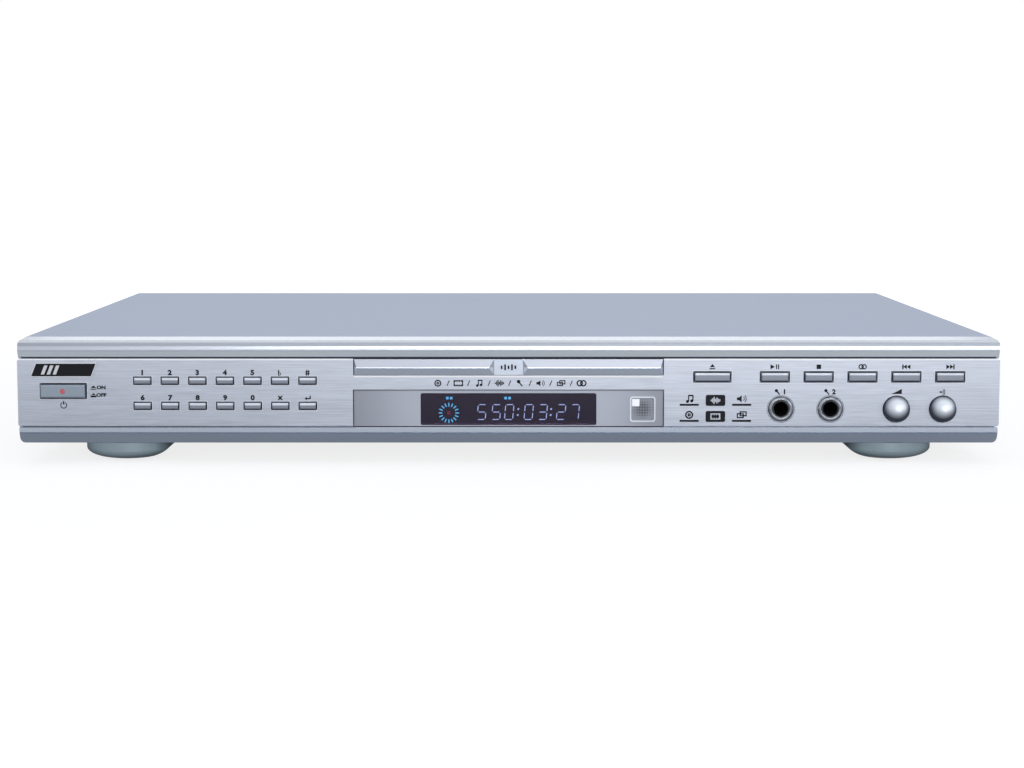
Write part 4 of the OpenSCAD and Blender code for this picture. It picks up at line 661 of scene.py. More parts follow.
class Sign(Enum):
    """The printed signs, each as its outlines around the origin in a square one unit high."""

    FLAT = [post(-0.22, -0.5, 0.5, 0.19), *band(-0.12, -0.2, 0.24, 0.12, -125, 125)]
    SHARP = [post(-0.15, -0.5, 0.5, 0.16), post(0.15, -0.5, 0.5, 0.16),
             bar((-0.36, -0.23), (0.36, -0.11), 0.19), bar((-0.36, 0.11), (0.36, 0.23), 0.19)]
    CROSS = [bar((-0.34, -0.36), (0.34, 0.36), 0.24), bar((-0.34, 0.36), (0.34, -0.36), 0.24)]
    RETURN = [bar((0.42, 0.4), (0.42, -0.12), 0.2), bar((0.48, -0.12), (-0.25, -0.12), 0.2),
              [(-0.52, -0.12), (-0.16, 0.18), (-0.16, -0.42)]]
    EJECT = [[(-0.5, -0.06), (0.5, -0.06), (0.0, 0.5)], beam(-0.34, -0.5, 0.5, 0.22)]
    PLAY_PAUSE = [[(-0.8, -0.45), (-0.02, 0.0), (-0.8, 0.45)],
                  post(0.28, -0.42, 0.42, 0.2), post(0.64, -0.42, 0.42, 0.2)]
    STOP = [[(-0.4, -0.4), (0.4, -0.4), (0.4, 0.4), (-0.4, 0.4)]]
    CHANNELS = [*band(-0.26, 0, 0.38, 0.2), *band(0.26, 0, 0.38, 0.2)]
    PREVIOUS = [[(0.7, -0.42), (0.7, 0.42), (0.06, 0)], [(0.06, -0.42), (0.06, 0.42), (-0.56, 0)],
                post(-0.64, -0.42, 0.42, 0.24)]
    NEXT = [[(-0.7, 0.42), (-0.7, -0.42), (-0.06, 0)], [(-0.06, 0.42), (-0.06, -0.42), (0.56, 0)],
            post(0.64, -0.42, 0.42, 0.24)]
    POWER = [*band(0, -0.04, 0.4, 0.12, 120, 420), post(0, 0.06, 0.52, 0.19)]
    LATCHED = [[(-0.65, -0.08), (0.65, -0.08), (0.0, 0.5)], beam(-0.36, -0.65, 0.65, 0.2)]
    RELEASED = [[(-0.5, 0.06), (0.5, 0.06), (0.0, 0.5)], beam(-0.28, -0.65, 0.65, 0.42)]
    MICROPHONE = [disc(-0.2, 0.24, 0.26), bar((-0.08, 0.08), (0.34, -0.42), 0.2)]
    LOUDNESS = [[(-0.8, -0.38), (0.8, -0.38), (0.8, 0.42)]]
    ECHO = [*band(-0.4, 0, 0.24, 0.12, -46, 46), *band(-0.4, 0, 0.48, 0.12, -46, 46),
            *band(-0.4, 0, 0.72, 0.12, -46, 46), disc(-0.42, 0, 0.16)]
    NOTE = [disc(-0.24, -0.34, 0.19), disc(0.3, -0.26, 0.19), post(-0.08, -0.34, 0.5, 0.15),
            post(0.45, -0.26, 0.5, 0.15), beam(0.42, -0.12, 0.49, 0.18)]
    DISC = [*band(0, 0, 0.42, 0.19), *band(0, 0, 0.13, 0.16)]
    WAVES = [post(-0.6 + 0.2 * number, -height, height, 0.16)
             for number, height in enumerate((0.12, 0.3, 0.5, 0.22, 0.42, 0.26, 0.16))]
    SPEAKER = [[(-0.6, -0.18), (-0.34, -0.18), (0.0, -0.44), (0.0, 0.44), (-0.34, 0.18), (-0.6, 0.18)],
               *band(0.02, 0, 0.3, 0.1, -50, 50), *band(0.02, 0, 0.54, 0.1, -50, 50)]
    FILM = [*frame_of(0, 0, 1.4, 0.9, 0.16),
            *(beam(y, x, x + 0.14, 0.19) for x in (-0.58, -0.26, 0.08, 0.42) for y in (-0.27, 0.27))]
    LAYERS = [*frame_of(-0.16, -0.1, 0.9, 0.64, 0.16), *frame_of(0.2, 0.14, 0.9, 0.64, 0.16)]


class Signwriter:
    """Prints signs and figures on a face that looks towards the camera.

    The face lies at a depth behind the plate's own, and the print stands proud of it.
    """

    def __init__(self, depth: float = 0.0, proud: float = INK_PROUD) -> None:
        self.depth = depth
        self.proud = proud
        self.points: list[tuple[float, float, float]] = []
        self.faces: list[list[int]] = []

    def fill(self, *outlines: Outline) -> None:
        """Adds closed outlines as thin prisms that start just under the face."""
        for outline in outlines:
            if signed_area(outline) < 0:
                outline = outline[::-1]
            start, count = len(self.points), len(outline)
            for depth in (self.depth - self.proud, self.depth + INK_SUNK):
                self.points += [(x, FACE + depth, height) for x, height in outline]
            self.faces.append([start + i for i in range(count)])
            self.faces.append([start + count + i for i in reversed(range(count))])
            for i in range(count):
                this, following = start + i, start + (i + 1) % count
                self.faces.append([following, this, this + count, following + count])

    def sign(self, sign: Sign, at: Point, size: float) -> None:
        """Adds a sign at a place, size metres high."""
        self.fill(*(placed(outline, at, size) for outline in sign.value))

    def figures(self, text: str, at: Point, size: float, stretch: float = 1.0) -> None:
        """Adds plain figures or ON and OFF, centred on a place and size metres high."""
        curve = bpy.data.curves.new("figures", "FONT")
        curve.body = text
        curve.align_x = "CENTER"
        curve.align_y = "CENTER"
        curve.size = size / CAP_SHARE
        curve.extrude = (self.proud + INK_SUNK) / 2
        curve.offset = FIGURE_BOLDNESS * size
        curve.resolution_u = 3
        writing = link("figures", curve)
        bpy.context.view_layer.update()
        graph = bpy.context.evaluated_depsgraph_get()
        mesh = bpy.data.meshes.new_from_object(writing.evaluated_get(graph))
        start = len(self.points)
        middle = FACE + self.depth - (self.proud - INK_SUNK) / 2
        for x, up, out in (vertex.co for vertex in mesh.vertices):
            self.points.append((at[0] + x * stretch, middle - out, at[1] + up))
        self.faces += [[start + corner for corner in face.vertices] for face in mesh.polygons]
        bpy.data.objects.remove(writing)
        bpy.data.meshes.remove(mesh)
        bpy.data.curves.remove(curve)

    def print_as(self, name: str, finish: Finish, slot: str = "plate_brushed",
                 body: Body = Body.CASE) -> None:
        """Makes one piece of everything that was added.

        Args:
            name: The piece's name.
            finish: Its finish.
            slot: Not used.
            body: The body that it rides on.
        """
        piece = build_mesh(name, self.points, self.faces)
        piece.data.materials.append(finish.build())
        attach(piece, body.value)
        log.info("piece %s rides on %s", piece.name, body.value)


KEYS = [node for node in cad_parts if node.startswith("key_") or node.endswith("_key")]
LABEL_SIZE = 2.15 * MM
SOCKET_BODY_HALF = 7.8 * MM
HALF_WIDTH = 220 * MM
LACQUER = srgb(206, 214, 226)
COVER_LACQUER = srgb(177, 186, 201)
PRINTED_INK = Ink("printed_ink", srgb(16, 17, 22), specular=0.2, tone=0.1, fineness=4000)


def socket_places() -> tuple[Point, Point]:
    """Gives the two microphone sockets' places on the panel."""
    jacks = Box("mic_jacks")
    height = Box("echo_knob").at[1]
    return ((jacks.low.x + SOCKET_BODY_HALF, height), (jacks.high.x - SOCKET_BODY_HALF, height))


def dress_case() -> None:
    """Paints the steel cover, the rear panel, the pan, the screws and the feet."""
    paint(Finish("cover_lacquer", COVER_LACQUER, roughness=0.62, specular=0.2, tone=0.015,
                 fineness=3200, relief=0.000012, edge=0.0006, dust=0.08), "top_cover")
    paint(Finish("rear_lacquer", COVER_LACQUER, roughness=0.45, metallic=0.15, tone=0.03,
                 fineness=2600, edge=0.0004), "rear_panel")
    paint(Brushed("zinc_sheet", srgb(176, 178, 182), roughness=0.4, metallic=0.85, tone=0.1,
                  along=160, across=500, relief=0.000004), "chassis_pan")
    paint(Finish("screw_plating", srgb(112, 113, 118), roughness=0.34, metallic=0.9, tone=0.12,
                 edge=0.00015, wear=0.4), "case_screws")
    # The feet's chrome has painted light where it faces forward and painted shade, a dark teal, at its sides.
    paint(Turned("foot_chrome_painted_light_and_shade", srgb(186, 203, 208), roughness=0.22, metallic=0.85, tone=0.12,
                 fineness=160, relief=0.000004, rim_colour=srgb(58, 82, 88)), "front_feet")
    paint(Finish("foot_rubber_skin", srgb(38, 38, 40), roughness=0.8, tone=0.15, fineness=1500,
                 relief=0.00003, edge=0.0004), "rubber_feet")


class FrontPanel:
    """The front frame, the brushed plate with its prints, the badge and the mark on the door."""

    bezel = Box("front_bezel")
    door = Box("tray_door")
    number_label_up = 3.5 * MM
    transport_label_up = 4.45 * MM
    socket_label_up = 7.5 * MM
    socket_ring = 6.05 * MM
    power_label_size = 1.5 * MM
    power_sign_aside = 13.2 * MM
    power_word_aside = 16.6 * MM
    power_sign_down = 6.2 * MM
    key_signs = {"key_flat": Sign.FLAT, "key_sharp": Sign.SHARP, "key_cancel": Sign.CROSS,
                 "key_enter": Sign.RETURN}
    transport_signs = {"eject_key": Sign.EJECT, "play_key": Sign.PLAY_PAUSE, "stop_key": Sign.STOP,
                       "channel_key": Sign.CHANNELS, "previous_key": Sign.PREVIOUS, "next_key": Sign.NEXT}
    format_signs = (Sign.NOTE, Sign.WAVES, Sign.SPEAKER, Sign.DISC, Sign.FILM, Sign.LAYERS)
    format_left = 79.3 * MM
    format_pitch = 11.5 * MM
    format_rows = (11.6 * MM, 4.5 * MM)
    format_field = (8.6 * MM, 4.9 * MM, 0.8 * MM)
    format_underline = 4.2 * MM
    strip_signs = (Sign.DISC, Sign.FILM, Sign.NOTE, Sign.WAVES, Sign.MICROPHONE, Sign.SPEAKER,
                   Sign.LAYERS, Sign.CHANNELS)
    strip_pitch = 9.0 * MM
    # Each band is a tone of the same lacquer painted on the nose as light or shade; the last, nearly white,
    # is painted light on the lowest slope.
    nose_bands = ((-1.0, 20, (196, 200, 207), 0.25, 0.75), (1.7, 2, (160, 165, 174), 0.5, 0.5),
                  (3.15, 2, (190, 196, 204), 0.3, 0.7), (4.35, 2, (184, 190, 200), 0.5, 0.5),
                  (5.1, 2, (240, 246, 254), 0.3, 0.75))
    opening_play = 0.38 * MM
    opening_line = 0.2 * MM
    key_flange = (1.6 * MM, 1.4 * MM)
    power_flange = (2.0 * MM, 1.6 * MM)
    badge_at = (-194.9 * MM, FOOT + 25.1 * MM)
    badge_size = (27.4 * MM, 6.6 * MM)
    badge_field = (26.08 * MM, 5.5 * MM)
    badge_bar = (1.5 * MM, 4.0 * MM)
    badge_slope = 2.6 / 6.6
    bar_slope = 0.4

    def dress(self) -> None:
        """Finishes the front frame and the plate and prints the plate's signs."""
        # The frame's lacquer carries painted light and shade in zones: the nose's bands, the web and the
        # lower rail's slope.
        zones = (*self.nose(), self.web(), self.lower_rail())
        paint(Finish("frame_lacquer", LACQUER, roughness=0.25, metallic=0.75, tone=0.012, fineness=3400,
                     relief=0.0000003, edge=0.0, zones=zones), "front_bezel")
        # The plate carries painted highlights along its upper edge and the edge under the door.
        paint(Brushed("plate_brushing", srgb(196, 201, 212), roughness=0.34, metallic=0.75, tone=0.15,
                      along=60, relief=0.000006, edge=0.0, zones=self.bright_edges()), "front_plate")
        self.line_openings()
        self.print_labels()
        self.print_formats()
        self.print_strip()
        self.mark_door()
        self.mount_badge()

    def web(self) -> Zone:
        """Gives the frame's web behind the plate, painted dark as painted shade where it shows in the gaps.
        """
        reach = self.bezel.high.x - 1.2 * MM
        # Painted shade: the web is painted dark where it shows in the gaps round the plate.
        return block((-reach, FACE + 0.55 * MM, FOOT - 0.42 * MM),
                     (reach, self.bezel.high.y + MM, TOP + 0.75 * MM), srgb(62, 66, 75), roughness=0.6)

    def bright_edges(self) -> tuple[Zone, ...]:
        """Gives painted highlights along the plate's upper edge and the edge under the door."""
        edges = ((TOP, PLATE.high.x), (self.door.low.z - 0.35 * MM, self.door.size.x / 2))
        # Painted highlights: near-white lines along the plate's edges.
        return tuple(block((-half, FACE - 0.3 * MM, top - 0.64 * MM),
                           (half, FACE + 0.3 * MM, top + 0.04 * MM),
                           srgb(252, 253, 255), roughness=0.4, metallic=0.1) for top, half in edges)

    def nose(self) -> tuple[Zone, ...]:
        """Gives the upper rail's painted light and shade from its top down: a strip with greyer edges of
        painted shade, then a light band of painted light.
        """
        low, high = self.bezel.low, self.bezel.high
        tops = [high.z - down * MM for down, *_ in self.nose_bands]
        feet = (*tops[1:], TOP + 0.9 * MM)
        return tuple(block((-high.x, low.y - depth * MM, foot), (high.x, low.y + depth * MM, top),
                           srgb(*tone), roughness=roughness, metallic=metallic)
                     for top, foot, (_, depth, tone, roughness, metallic) in zip(tops, feet, self.nose_bands))

    def lower_rail(self) -> Zone:
        """Gives the frame's rail under the plate, whose slope is painted a tone darker as painted shade."""
        low, high = self.bezel.low, self.bezel.high
        # Painted shade: the rail's lower slope is painted a tone darker.
        return block((-high.x - MM, low.y - MM, low.z), (high.x + MM, high.y + MM, FOOT - 2.5 * MM),
                     srgb(176, 186, 200), roughness=0.3, metallic=0.75)

    def line_openings(self) -> None:
        """Lines every key's opening with a painted shadow and a painted highlight round that, the display's
        with the painted shadow alone.
        """
        edges, painted_highlights = Signwriter(), Signwriter()
        for node in (*KEYS, "power_button"):
            box = Box(node)
            flange = self.key_flange
            dark = self.opening_line
            if node.endswith("_key"):
                dark += 0.2 * MM
            if node == "power_button":
                flange = self.power_flange
                dark += 0.15 * MM
            reach = self.opening_play
            for writer, line in ((edges, dark), (painted_highlights, self.opening_line)):
                reach += line
                wide = box.size.x - flange[0] + 2 * reach
                tall = box.size.z - flange[1] + 2 * reach
                writer.fill(*frame_of(*box.at, wide, tall, line))
        # The display's opening gets the painted shadow on its upper edge and its sides.
        box = Box("display_surround")
        _, *upper_and_sides = frame_of(*box.at, box.size.x + 0.9 * MM, box.size.z + 0.7 * MM, 0.35 * MM)
        edges.fill(*upper_and_sides)
        # The dark lines are painted shadow round the openings, the pale lines a painted highlight.
        edges.print_as("opening_painted_shadows", Finish("opening_painted_shadow_tone", srgb(58, 62, 74), tone=0.1, edge=0.0))
        painted_highlights.print_as("opening_painted_highlights", Finish("opening_painted_highlight_tone", srgb(232, 236, 244), roughness=0.35,
                                             metallic=0.2, tone=0.03, edge=0.0))

    def print_labels(self) -> None:
        """Prints the figures and signs over the keys, the sockets and the knobs."""
        writer = Signwriter()
        for figure in "1234567890":
            writer.figures(figure, Box("key_" + figure).over(self.number_label_up), LABEL_SIZE, 1.12)
        for node, sign in self.key_signs.items():
            writer.sign(sign, Box(node).over(self.number_label_up), LABEL_SIZE * 1.2)
        for node, sign in self.transport_signs.items():
            writer.sign(sign, Box(node).over(self.transport_label_up), LABEL_SIZE * 1.15)
        self.print_socket_labels(writer)
        self.print_power_labels(writer)
        writer.print_as("plate_signs", PRINTED_INK)

    def print_socket_labels(self, writer: Signwriter) -> None:
        """Prints a ring round each socket and its number above, and signs over the two knobs."""
        up = self.socket_label_up
        aside = 1.5 * MM
        for number, (x, height) in enumerate(socket_places(), start=1):
            writer.sign(Sign.MICROPHONE, (x - aside, height + up), LABEL_SIZE * 1.25)
            writer.figures(str(number), (x + aside, height + up), LABEL_SIZE)
            writer.fill(*band(x, height, self.socket_ring, 0.16 * MM))
        writer.sign(Sign.LOUDNESS, Box("mic_volume_knob").over(up + 0.2 * MM), LABEL_SIZE * 1.3)
        writer.sign(Sign.ECHO, Box("echo_knob").over(up), LABEL_SIZE * 1.2)

    def print_power_labels(self, writer: Signwriter) -> None:
        """Prints ON and OFF with their signs beside the power button, and its sign below."""
        x, height = Box("power_button").at
        size = self.power_label_size
        for sign, text, up in ((Sign.LATCHED, "ON", 1.45 * MM), (Sign.RELEASED, "OFF", -1.9 * MM)):
            writer.sign(sign, (x + self.power_sign_aside, height + up), size * 1.3)
            writer.figures(text, (x + self.power_word_aside, height + up), size, 1.2)
        writer.sign(Sign.POWER, (x, height - self.power_sign_down), LABEL_SIZE * 1.5)

    def print_formats(self) -> None:
        """Prints six plain pictograms beside the display: dark ones, and pale ones on dark fields."""
        dark, pale = Signwriter(), Signwriter(-INK_PROUD)
        for number, sign in enumerate(self.format_signs):
            row, column = divmod(number, 3)
            x = self.format_left + column * self.format_pitch
            height = FOOT + self.format_rows[row]
            if column == 1:
                dark.fill(placed(oblong(*self.format_field), (x, height)))
                pale.sign(sign, (x, height), 3.1 * MM)
            else:
                dark.sign(sign, (x, height + 0.7 * MM), 3.5 * MM)
                left, right = x - self.format_underline, x + self.format_underline
                dark.fill(beam(height - 1.95 * MM, left, right, 0.9 * MM))
        dark.print_as("format_pictograms", PRINTED_INK)
        pale.print_as("format_pictograms_pale", Finish("pictogram_pale", srgb(205, 209, 219), roughness=0.4,
                                                       tone=0.04, edge=0.0))

    def print_strip(self) -> None:
        """Prints a row of small pictograms, parted by leaning strokes, under the tray's door."""
        writer = Signwriter()
        height = FOOT + 19.2 * MM
        slant = 0.5 * MM
        rise = 1.2 * MM
        for number, sign in enumerate(self.strip_signs):
            x = (number - (len(self.strip_signs) - 1) / 2) * self.strip_pitch + 0.5 * MM
            writer.sign(sign, (x, height), 3.0 * MM)
            if number:
                left = x - self.strip_pitch / 2
                writer.fill(bar((left - slant, height - rise), (left + slant, height + rise), 0.4 * MM))
        writer.print_as("strip_pictograms", PRINTED_INK)

    def mark_door(self) -> None:
        """Prints five plain upright strokes on the tray's door."""
        writer = Signwriter(self.door.low.y - FACE)
        x, height = self.door.at
        for number, tall in enumerate((1.5, 2.6, 1.5, 2.6, 1.5)):
            half = tall / 2 * MM
            writer.fill(post(x + (number - 2) * 1.5 * MM, height - half, height + half, 0.7 * MM))
        writer.print_as("door_mark", PRINTED_INK, body=Body.TRAY)

    def mount_badge(self) -> None:
        """Mounts a small leaning badge: a dark field in a pale rim, with three plain bars."""
        x, height = self.badge_at
        rim_plating = Finish("badge_rim_plating", srgb(214, 216, 222), roughness=0.25, metallic=0.6,
                             tone=0.03, edge=0.0002)
        field_gloss = Finish("badge_field_gloss", srgb(14, 15, 20), specular=0.2, tone=0.08, edge=0.0)
        rim, field, bars = (Signwriter(proud=proud * MM) for proud in (0.45, 0.52, 0.6))
        rim.fill(leaning(self.badge_at, self.badge_size, self.badge_slope))
        field.fill(leaning(self.badge_at, self.badge_field, self.badge_slope))
        for shift in (-8.4, -5.8, -3.2):
            bars.fill(leaning((x + shift * MM, height), self.badge_bar, self.bar_slope))
        rim.print_as("badge_rim", rim_plating)
        field.print_as("badge_field", field_gloss)
        bars.print_as("badge_bars", rim_plating)


class Display:
    """The satin surround, the smoked window, the lit figures behind it and the remote's window."""

    reading = "550:03:27"
    reading_left = -13.6 * MM
    reading_down = 1.7 * MM
    digit = (3.6 * MM, 6.6 * MM)
    digit_steps = (0.0, 6.4, 12.1, 17.8, 20.7, 26.9, 32.3, 35.0, 41.0)
    digit_line = 0.4 * MM
    digit_lean = 0.09
    lit_segments = ("abcdef", "bc", "abged", "abgcd", "fgbc", "afgcd", "afgedc", "abc", "abcdefg", "abcdfg")
    ring_x = -26.3 * MM
    ring_down = 2.1 * MM
    ring_radii = (2.9 * MM, 4.5 * MM)
    ring_dashes = 16
    ring_line = 0.5 * MM
    hub_radius = 0.9 * MM
    pair_up = 4.5 * MM
    sensor = Box("sensor_window")
    mesh_half = 4.9 * MM
    mesh_lines = 15
    # Corners of the white square painted as a reflection on the sensor's window, in mm.
    lamp_corners = ((-4.6, 1.3), (-1.4, 1.3), (-1.4, 4.5), (-4.6, 4.5))

    def dress(self) -> None:
        """Finishes the display's nodes and adds what glows."""
        surround_front = Box("display_surround").low.y
        x, height = self.sensor.at
        corners = [(x + side * 6 * MM, surround_front + side * 0.35 * MM, height + side * 6 * MM)
                   for side in (-1, 1)]
        rim = block(*corners, srgb(236, 239, 246), roughness=0.35, metallic=0.1)
        paint(Fading("surround_satin_coat", srgb(166, 170, 181), roughness=0.38, metallic=0.3, tone=0.2,
                     fineness=3000, edge=0.0, zones=(rim,)), "display_surround")
        paint(ClearPlastic("window_smoke", srgb(122, 104, 140)), "display_window")
        paint(Finish("tube_dark_grid", srgb(30, 24, 36), roughness=0.35, coat=0.2, tone=0.2, fineness=900),
              "display_tube")
        paint(ClearPlastic("sensor_smoke", srgb(150, 150, 160)), "sensor_window")
        self.light_figures()
        self.build_sensor()

    def light_figures(self) -> None:
        """Lights the counter, the disc ring and the small signs on the tube's face."""
        depth = Box("display_tube").low.y - FACE
        middle = Box("display_window").at[1]
        counter, ring, hub = (Signwriter(depth) for _ in range(3))
        for sign, step in zip(self.reading, self.digit_steps):
            outlines = self.colon() if sign == ":" else self.segments(int(sign))
            at = (self.reading_left + step * MM, middle - self.reading_down)
            counter.fill(*(self.italic(outline, at) for outline in outlines))
        centre = (self.ring_x, middle - self.ring_down)
        for number in range(self.ring_dashes):
            angle = 360 * number / self.ring_dashes
            inner, outer = (arc(*centre, radius, angle, angle, 1)[0] for radius in self.ring_radii)
            ring.fill(bar(inner, outer, self.ring_line))
        for x in (self.ring_x + 0.2 * MM, -0.4 * MM):
            for side in (-1, 1):
                ring.sign(Sign.STOP, (x + side * 0.85 * MM, middle + self.pair_up), 1.4 * MM)
        hub.fill(disc(*centre, self.hub_radius))
        counter.print_as("counter_figures", Glow("phosphor_lavender", srgb(190, 240, 234), strength=4.5),
                         "tube_glass")
        ring.print_as("disc_ring", Glow("phosphor_cyan", srgb(100, 240, 235), strength=5.0), "tube_glass")
        hub.print_as("ring_hub", Glow("phosphor_red", srgb(190, 70, 80), strength=1.2), "tube_glass")

    def segments(self, figure: int) -> list[Outline]:
        """Outlines the lit segments of one figure, its left edge's middle at the origin."""
        wide, top = self.digit[0], self.digit[1] / 2
        gap = self.digit_line * 1.1
        strokes = {
            "a": ((gap, top), (wide - gap, top)),
            "b": ((wide, gap), (wide, top - gap)),
            "c": ((wide, gap - top), (wide, -gap)),
            "d": ((gap, -top), (wide - gap, -top)),
            "e": ((0, gap - top), (0, -gap)),
            "f": ((0, gap), (0, top - gap)),
            "g": ((gap, 0), (wide - gap, 0)),
        }
        return [bar(*strokes[letter], self.digit_line) for letter in self.lit_segments[figure]]

    def italic(self, outline: Outline, at: Point) -> Outline:
        """Moves an outline to a place and leans it like italic figures."""
        return [(at[0] + x + y * self.digit_lean, at[1] + y) for x, y in outline]

    def colon(self) -> list[Outline]:
        """Outlines the two dots between hours, minutes and seconds."""
        return [disc(0, side * self.digit[1] * 0.2, 0.42 * MM) for side in (-1, 1)]

    def build_sensor(self) -> None:
        """Builds the fine mesh over the remote's receiver, the field behind it and a glowing white square, a
        painted reflection on the window.
        """
        at = self.sensor.at
        depth = self.sensor.low.y - FACE
        half = self.mesh_half
        field = Signwriter(depth)
        mesh = Signwriter(depth - INK_PROUD)
        painted_reflection = Signwriter(depth, 0.12 * MM)
        field.fill(placed(oblong(10.5 * MM, 10.7 * MM, 0.7 * MM), at))
        field.print_as("sensor_field", Finish("sensor_field", srgb(150, 154, 165), tone=0.04, edge=0.0),
                       "sensor_tint")
        steps = [(line * 2 / (self.mesh_lines - 1) - 1) * half for line in range(self.mesh_lines)]
        for up in steps:
            for across in steps:
                share = 1 - math.hypot(across, up) / (1.25 * half)
                side = 0.5 * MM * max(0.2, min(1.0, 1.5 * share))
                mesh.fill(placed(beam(up, across - side / 2, across + side / 2, side), at))
        mesh.print_as("sensor_mesh", Finish("sensor_mesh_ink", srgb(44, 46, 54), tone=0.1, edge=0.0),
                      "sensor_tint")
        # The glowing white square is a painted reflection on the sensor's window.
        painted_reflection.fill(placed(self.lamp_corners, at, MM))
        painted_reflection.print_as("remote_window_painted_reflection", Glow("remote_window_painted_reflection_white", srgb(235, 236, 240), strength=0.35),
                      "sensor_tint")


class Controls:
    """The keys, the power button, the knobs, the microphone sockets and the tray's door."""

    door = Box("tray_door")
    # Height and tone of the painted highlight on each row of keys.
    crown_tall = 1.65 * MM
    crown_rows = (("key_1", -1, 226), ("key_6", -1, 226), ("play_key", 1, 208))
    lens_radius = 1.1 * MM
    bore_radius = 3.7 * MM
    door_block = 7.2 * MM
    door_crease = 3.5 * MM

    def dress(self) -> None:
        """Finishes every control."""
        # The keys' lacquer carries painted highlights on their upper strips and painted shade on their
        # flanges.
        paint(Finish("key_lacquer", srgb(142, 148, 160), roughness=0.3, metallic=0.35, coat=0.3, tone=0.03,
                     edge=0.0005, wear=0.0, zones=self.key_crowns()), *KEYS)
        lens = rod(Box("power_button").at, self.lens_radius, srgb(206, 96, 102), roughness=0.3)
        paint(Finish("power_lacquer", srgb(153, 164, 177), roughness=0.34, metallic=0.35, coat=0.3,
                     tone=0.03, edge=0.0006, wear=0.3, zones=(lens,)), "power_button")
        # The knobs carry a painted highlight towards the upper left, set by the tilted axis, and painted
        # shade round the rim.
        paint(Turned("knob_metal_painted_light_and_shade", srgb(224, 229, 236), metallic=0.75, tone=0.03, fineness=900,
                     relief=0.000002, axis=(-0.22, -0.87, 0.44), dark_below=0.3, light_above=0.95,
                     rim_colour=srgb(74, 80, 90)), "mic_volume_knob", "echo_knob")
        paint(Finish("socket_nut_chrome", srgb(176, 180, 186), roughness=0.16, metallic=0.95, tone=0.04,
                     edge=0.0003, zones=self.bushes()), "mic_jacks")
        paint(Finish("door_lacquer", LACQUER, roughness=0.3, metallic=0.75, tone=0.015, wear=0.0,
                     relief=0.0000003, edge=0.0, zones=self.door_crown()), "tray_door")

    def door_crown(self) -> tuple[Zone, ...]:
        """Gives painted shade on the door's upper slope on both sides of its block."""
        door = self.door
        inner = self.door_block - MM / 2
        outer = (door.size.x + MM) / 2
        # Painted shade: the upper slope is painted greyer than the door's lacquer.
        return tuple(block((door.middle.x + side * inner, door.low.y - MM, door.high.z - self.door_crease),
                           (door.middle.x + side * outer, door.high.y + MM, door.high.z + MM),
                           srgb(168, 172, 182), roughness=0.42, metallic=0.6) for side in (-1, 1))

    def key_crowns(self) -> tuple[Zone, ...]:
        """Gives painted highlights on the upper strips of the keys' faces, row by row, and painted shade on
        the flanges behind them.
        """
        extra = 0.1 * MM
        back = Box("key_1").high.y + 2 * MM
        zones = []
        for node, side, level in self.crown_rows:
            top = Box(node).high.z
            # Painted highlight: a lighter strip over the top of each row's key faces.
            zones.append(block((0.0, FACE - 5 * MM, top - self.crown_tall - extra),
                               (side * HALF_WIDTH, FACE + 5 * MM, top + extra),
                               srgb(level - 6, level, level + 9), roughness=0.3, metallic=0.3))
        # Painted shade: the flanges behind the plate are painted dark where they show in the gaps.
        zones.append(block((-HALF_WIDTH, FACE + 0.4 * MM, TOP - 50 * MM), (HALF_WIDTH, back, TOP + 50 * MM),
                           srgb(52, 56, 66), metallic=0.1))
        return tuple(zones)

    def bushes(self) -> tuple[Zone, ...]:
        """Gives the black bodies of the two sockets: the bush inside each nut, and all behind."""
        jacks = Box("mic_jacks")
        x, height = jacks.at
        black = srgb(24, 24, 26)
        return (*(rod(place, self.bore_radius, black) for place in socket_places()),
                block((x - 30 * MM, FACE + 2 * MM, height - 20 * MM),
                      (x + 30 * MM, jacks.high.y + MM, height + 20 * MM), black))


def dress_rear() -> None:
    """Finishes the phono sockets with their coloured insulators, and the mains inlet with its pins."""
    sockets = Box("phono_sockets")
    inlet = Box("mains_inlet")
    colours = (srgb(222, 190, 40), srgb(232, 232, 228), srgb(196, 38, 36), srgb(34, 110, 60),
               srgb(38, 66, 150), srgb(28, 28, 30))
    insulator, contact, pin = 3.62 * MM, 1.62 * MM, 1.25 * MM
    pitch = 14.0 * MM
    upper = sockets.high.z - 4.15 * MM
    first = sockets.middle.x - (len(colours) - 1) / 2 * pitch
    zones = []
    for column, colour in enumerate(colours):
        for height in (upper, upper - pitch):
            at = (first + column * pitch, height)
            zones.append(rod(at, insulator, colour, roughness=0.35))
            zones.append(rod(at, contact, srgb(40, 36, 28), roughness=0.4))
    x, height = sockets.at
    behind = sockets.high.y - 9.6 * MM
    zones.append(block((x - 100 * MM, behind - 40 * MM, height - 50 * MM),
                       (x + 100 * MM, behind, height + 50 * MM), srgb(26, 26, 28)))
    paint(Finish("phono_plating", srgb(206, 200, 182), roughness=0.18, metallic=0.95, tone=0.04,
                 edge=0.0002, zones=tuple(zones)), "phono_sockets")
    pins = tuple(rod((inlet.at[0] + side * 4.3 * MM, inlet.at[1]), pin, srgb(190, 190, 186),
                     metallic=0.9, roughness=0.25) for side in (-1, 1))
    paint(Finish("inlet_moulding", srgb(26, 26, 28), roughness=0.45, tone=0.1, edge=0.0004, zones=pins),
          "mains_inlet")


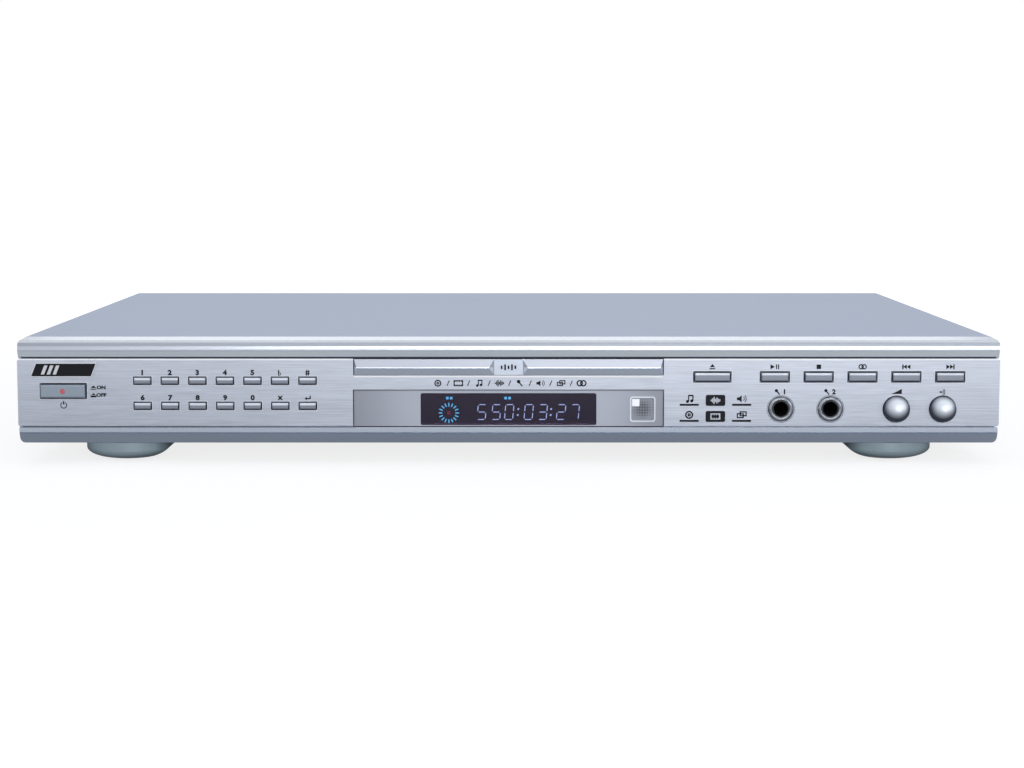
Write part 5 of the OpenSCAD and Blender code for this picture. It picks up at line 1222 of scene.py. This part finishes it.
def dress_loader() -> None:
    """Finishes the tray, its loader and gears, the traverse with turntable and sled, and the clamp."""
    paint(Finish("tray_moulding", srgb(52, 53, 56), roughness=0.55, tone=0.08, fineness=2600, relief=0.00003,
                 edge=0.0006, wear=0.1, dust=0.1), "disc_tray")
    paint(Finish("loader_moulding", srgb(46, 46, 49), tone=0.1, relief=0.00003, edge=0.0005), "loader_frame")
    paint(Finish("acetal", srgb(232, 228, 210), roughness=0.42, tone=0.05, edge=0.0002), "drive_gear",
          "pulley_gear", "motor_pulley", "sled_pinion", "clamp_puck")
    paint(Finish("cam_moulding", srgb(222, 222, 218), roughness=0.45, tone=0.05), "cam_slider")
    paint(Brushed("motor_can", srgb(186, 187, 190), roughness=0.3, metallic=0.9, tone=0.08, along=900,
                  across=900, relief=0.000004), "loading_motor", "traverse_motors")
    paint(Finish("belt_rubber_skin", srgb(24, 24, 24), roughness=0.75, tone=0.15), "drive_belt")
    paint(Finish("traverse_moulding", srgb(74, 76, 80), roughness=0.55, tone=0.12, fineness=1500,
                 relief=0.00003), "traverse_frame")
    paint(Finish("turntable_moulding", srgb(34, 34, 36), tone=0.1, edge=0.0004), "turntable")
    paint(Finish("sled_casting", srgb(140, 143, 148), roughness=0.45, metallic=0.7, tone=0.12, fineness=1200,
                 relief=0.00003), "optical_sled")
    paint(Brushed("ground_rod", srgb(200, 202, 205), roughness=0.18, metallic=1.0, tone=0.05, along=2000,
                  across=60, relief=0.000002), "sled_rails")
    paint(Brushed("bridge_zinc", srgb(178, 180, 184), roughness=0.36, metallic=0.85, tone=0.08, along=200,
                  across=600, relief=0.000004), "clamp_bridge")


def dress_inside() -> None:
    """Finishes the boards, the parts on them and the transformer."""
    parts = Box("board_components")
    cans = Zone((parts.low.x, *parts.middle.yz), (0.035, 0.3, 0.1), srgb(196, 198, 202), metallic=0.5,
                roughness=0.4)
    paint(Laminate("board_mask", srgb(28, 92, 52), roughness=0.35, coat=0.3, tone=0.08), "circuit_boards",
          "front_board")
    paint(Finish("pot_plating", srgb(150, 150, 152), roughness=0.34, metallic=0.85, tone=0.08),
          "potentiometers")
    paint(Finish("component_packages", srgb(40, 41, 44), roughness=0.45, tone=0.12, zones=(cans,)),
          "board_components")
    paint(Finish("transformer_tape", srgb(196, 150, 40), roughness=0.4, tone=0.1, fineness=600),
          "transformer")


def main() -> None:
    """Builds the studio and dresses the machine, one sub-assembly after another."""
    logging.basicConfig(level=logging.INFO, format="%(message)s")
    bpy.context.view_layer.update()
    Studio().set_up()
    dress_case()
    FrontPanel().dress()
    Display().dress()
    Controls().dress()
    dress_rear()
    dress_loader()
    dress_inside()


if __name__ == "__main__":
    main()
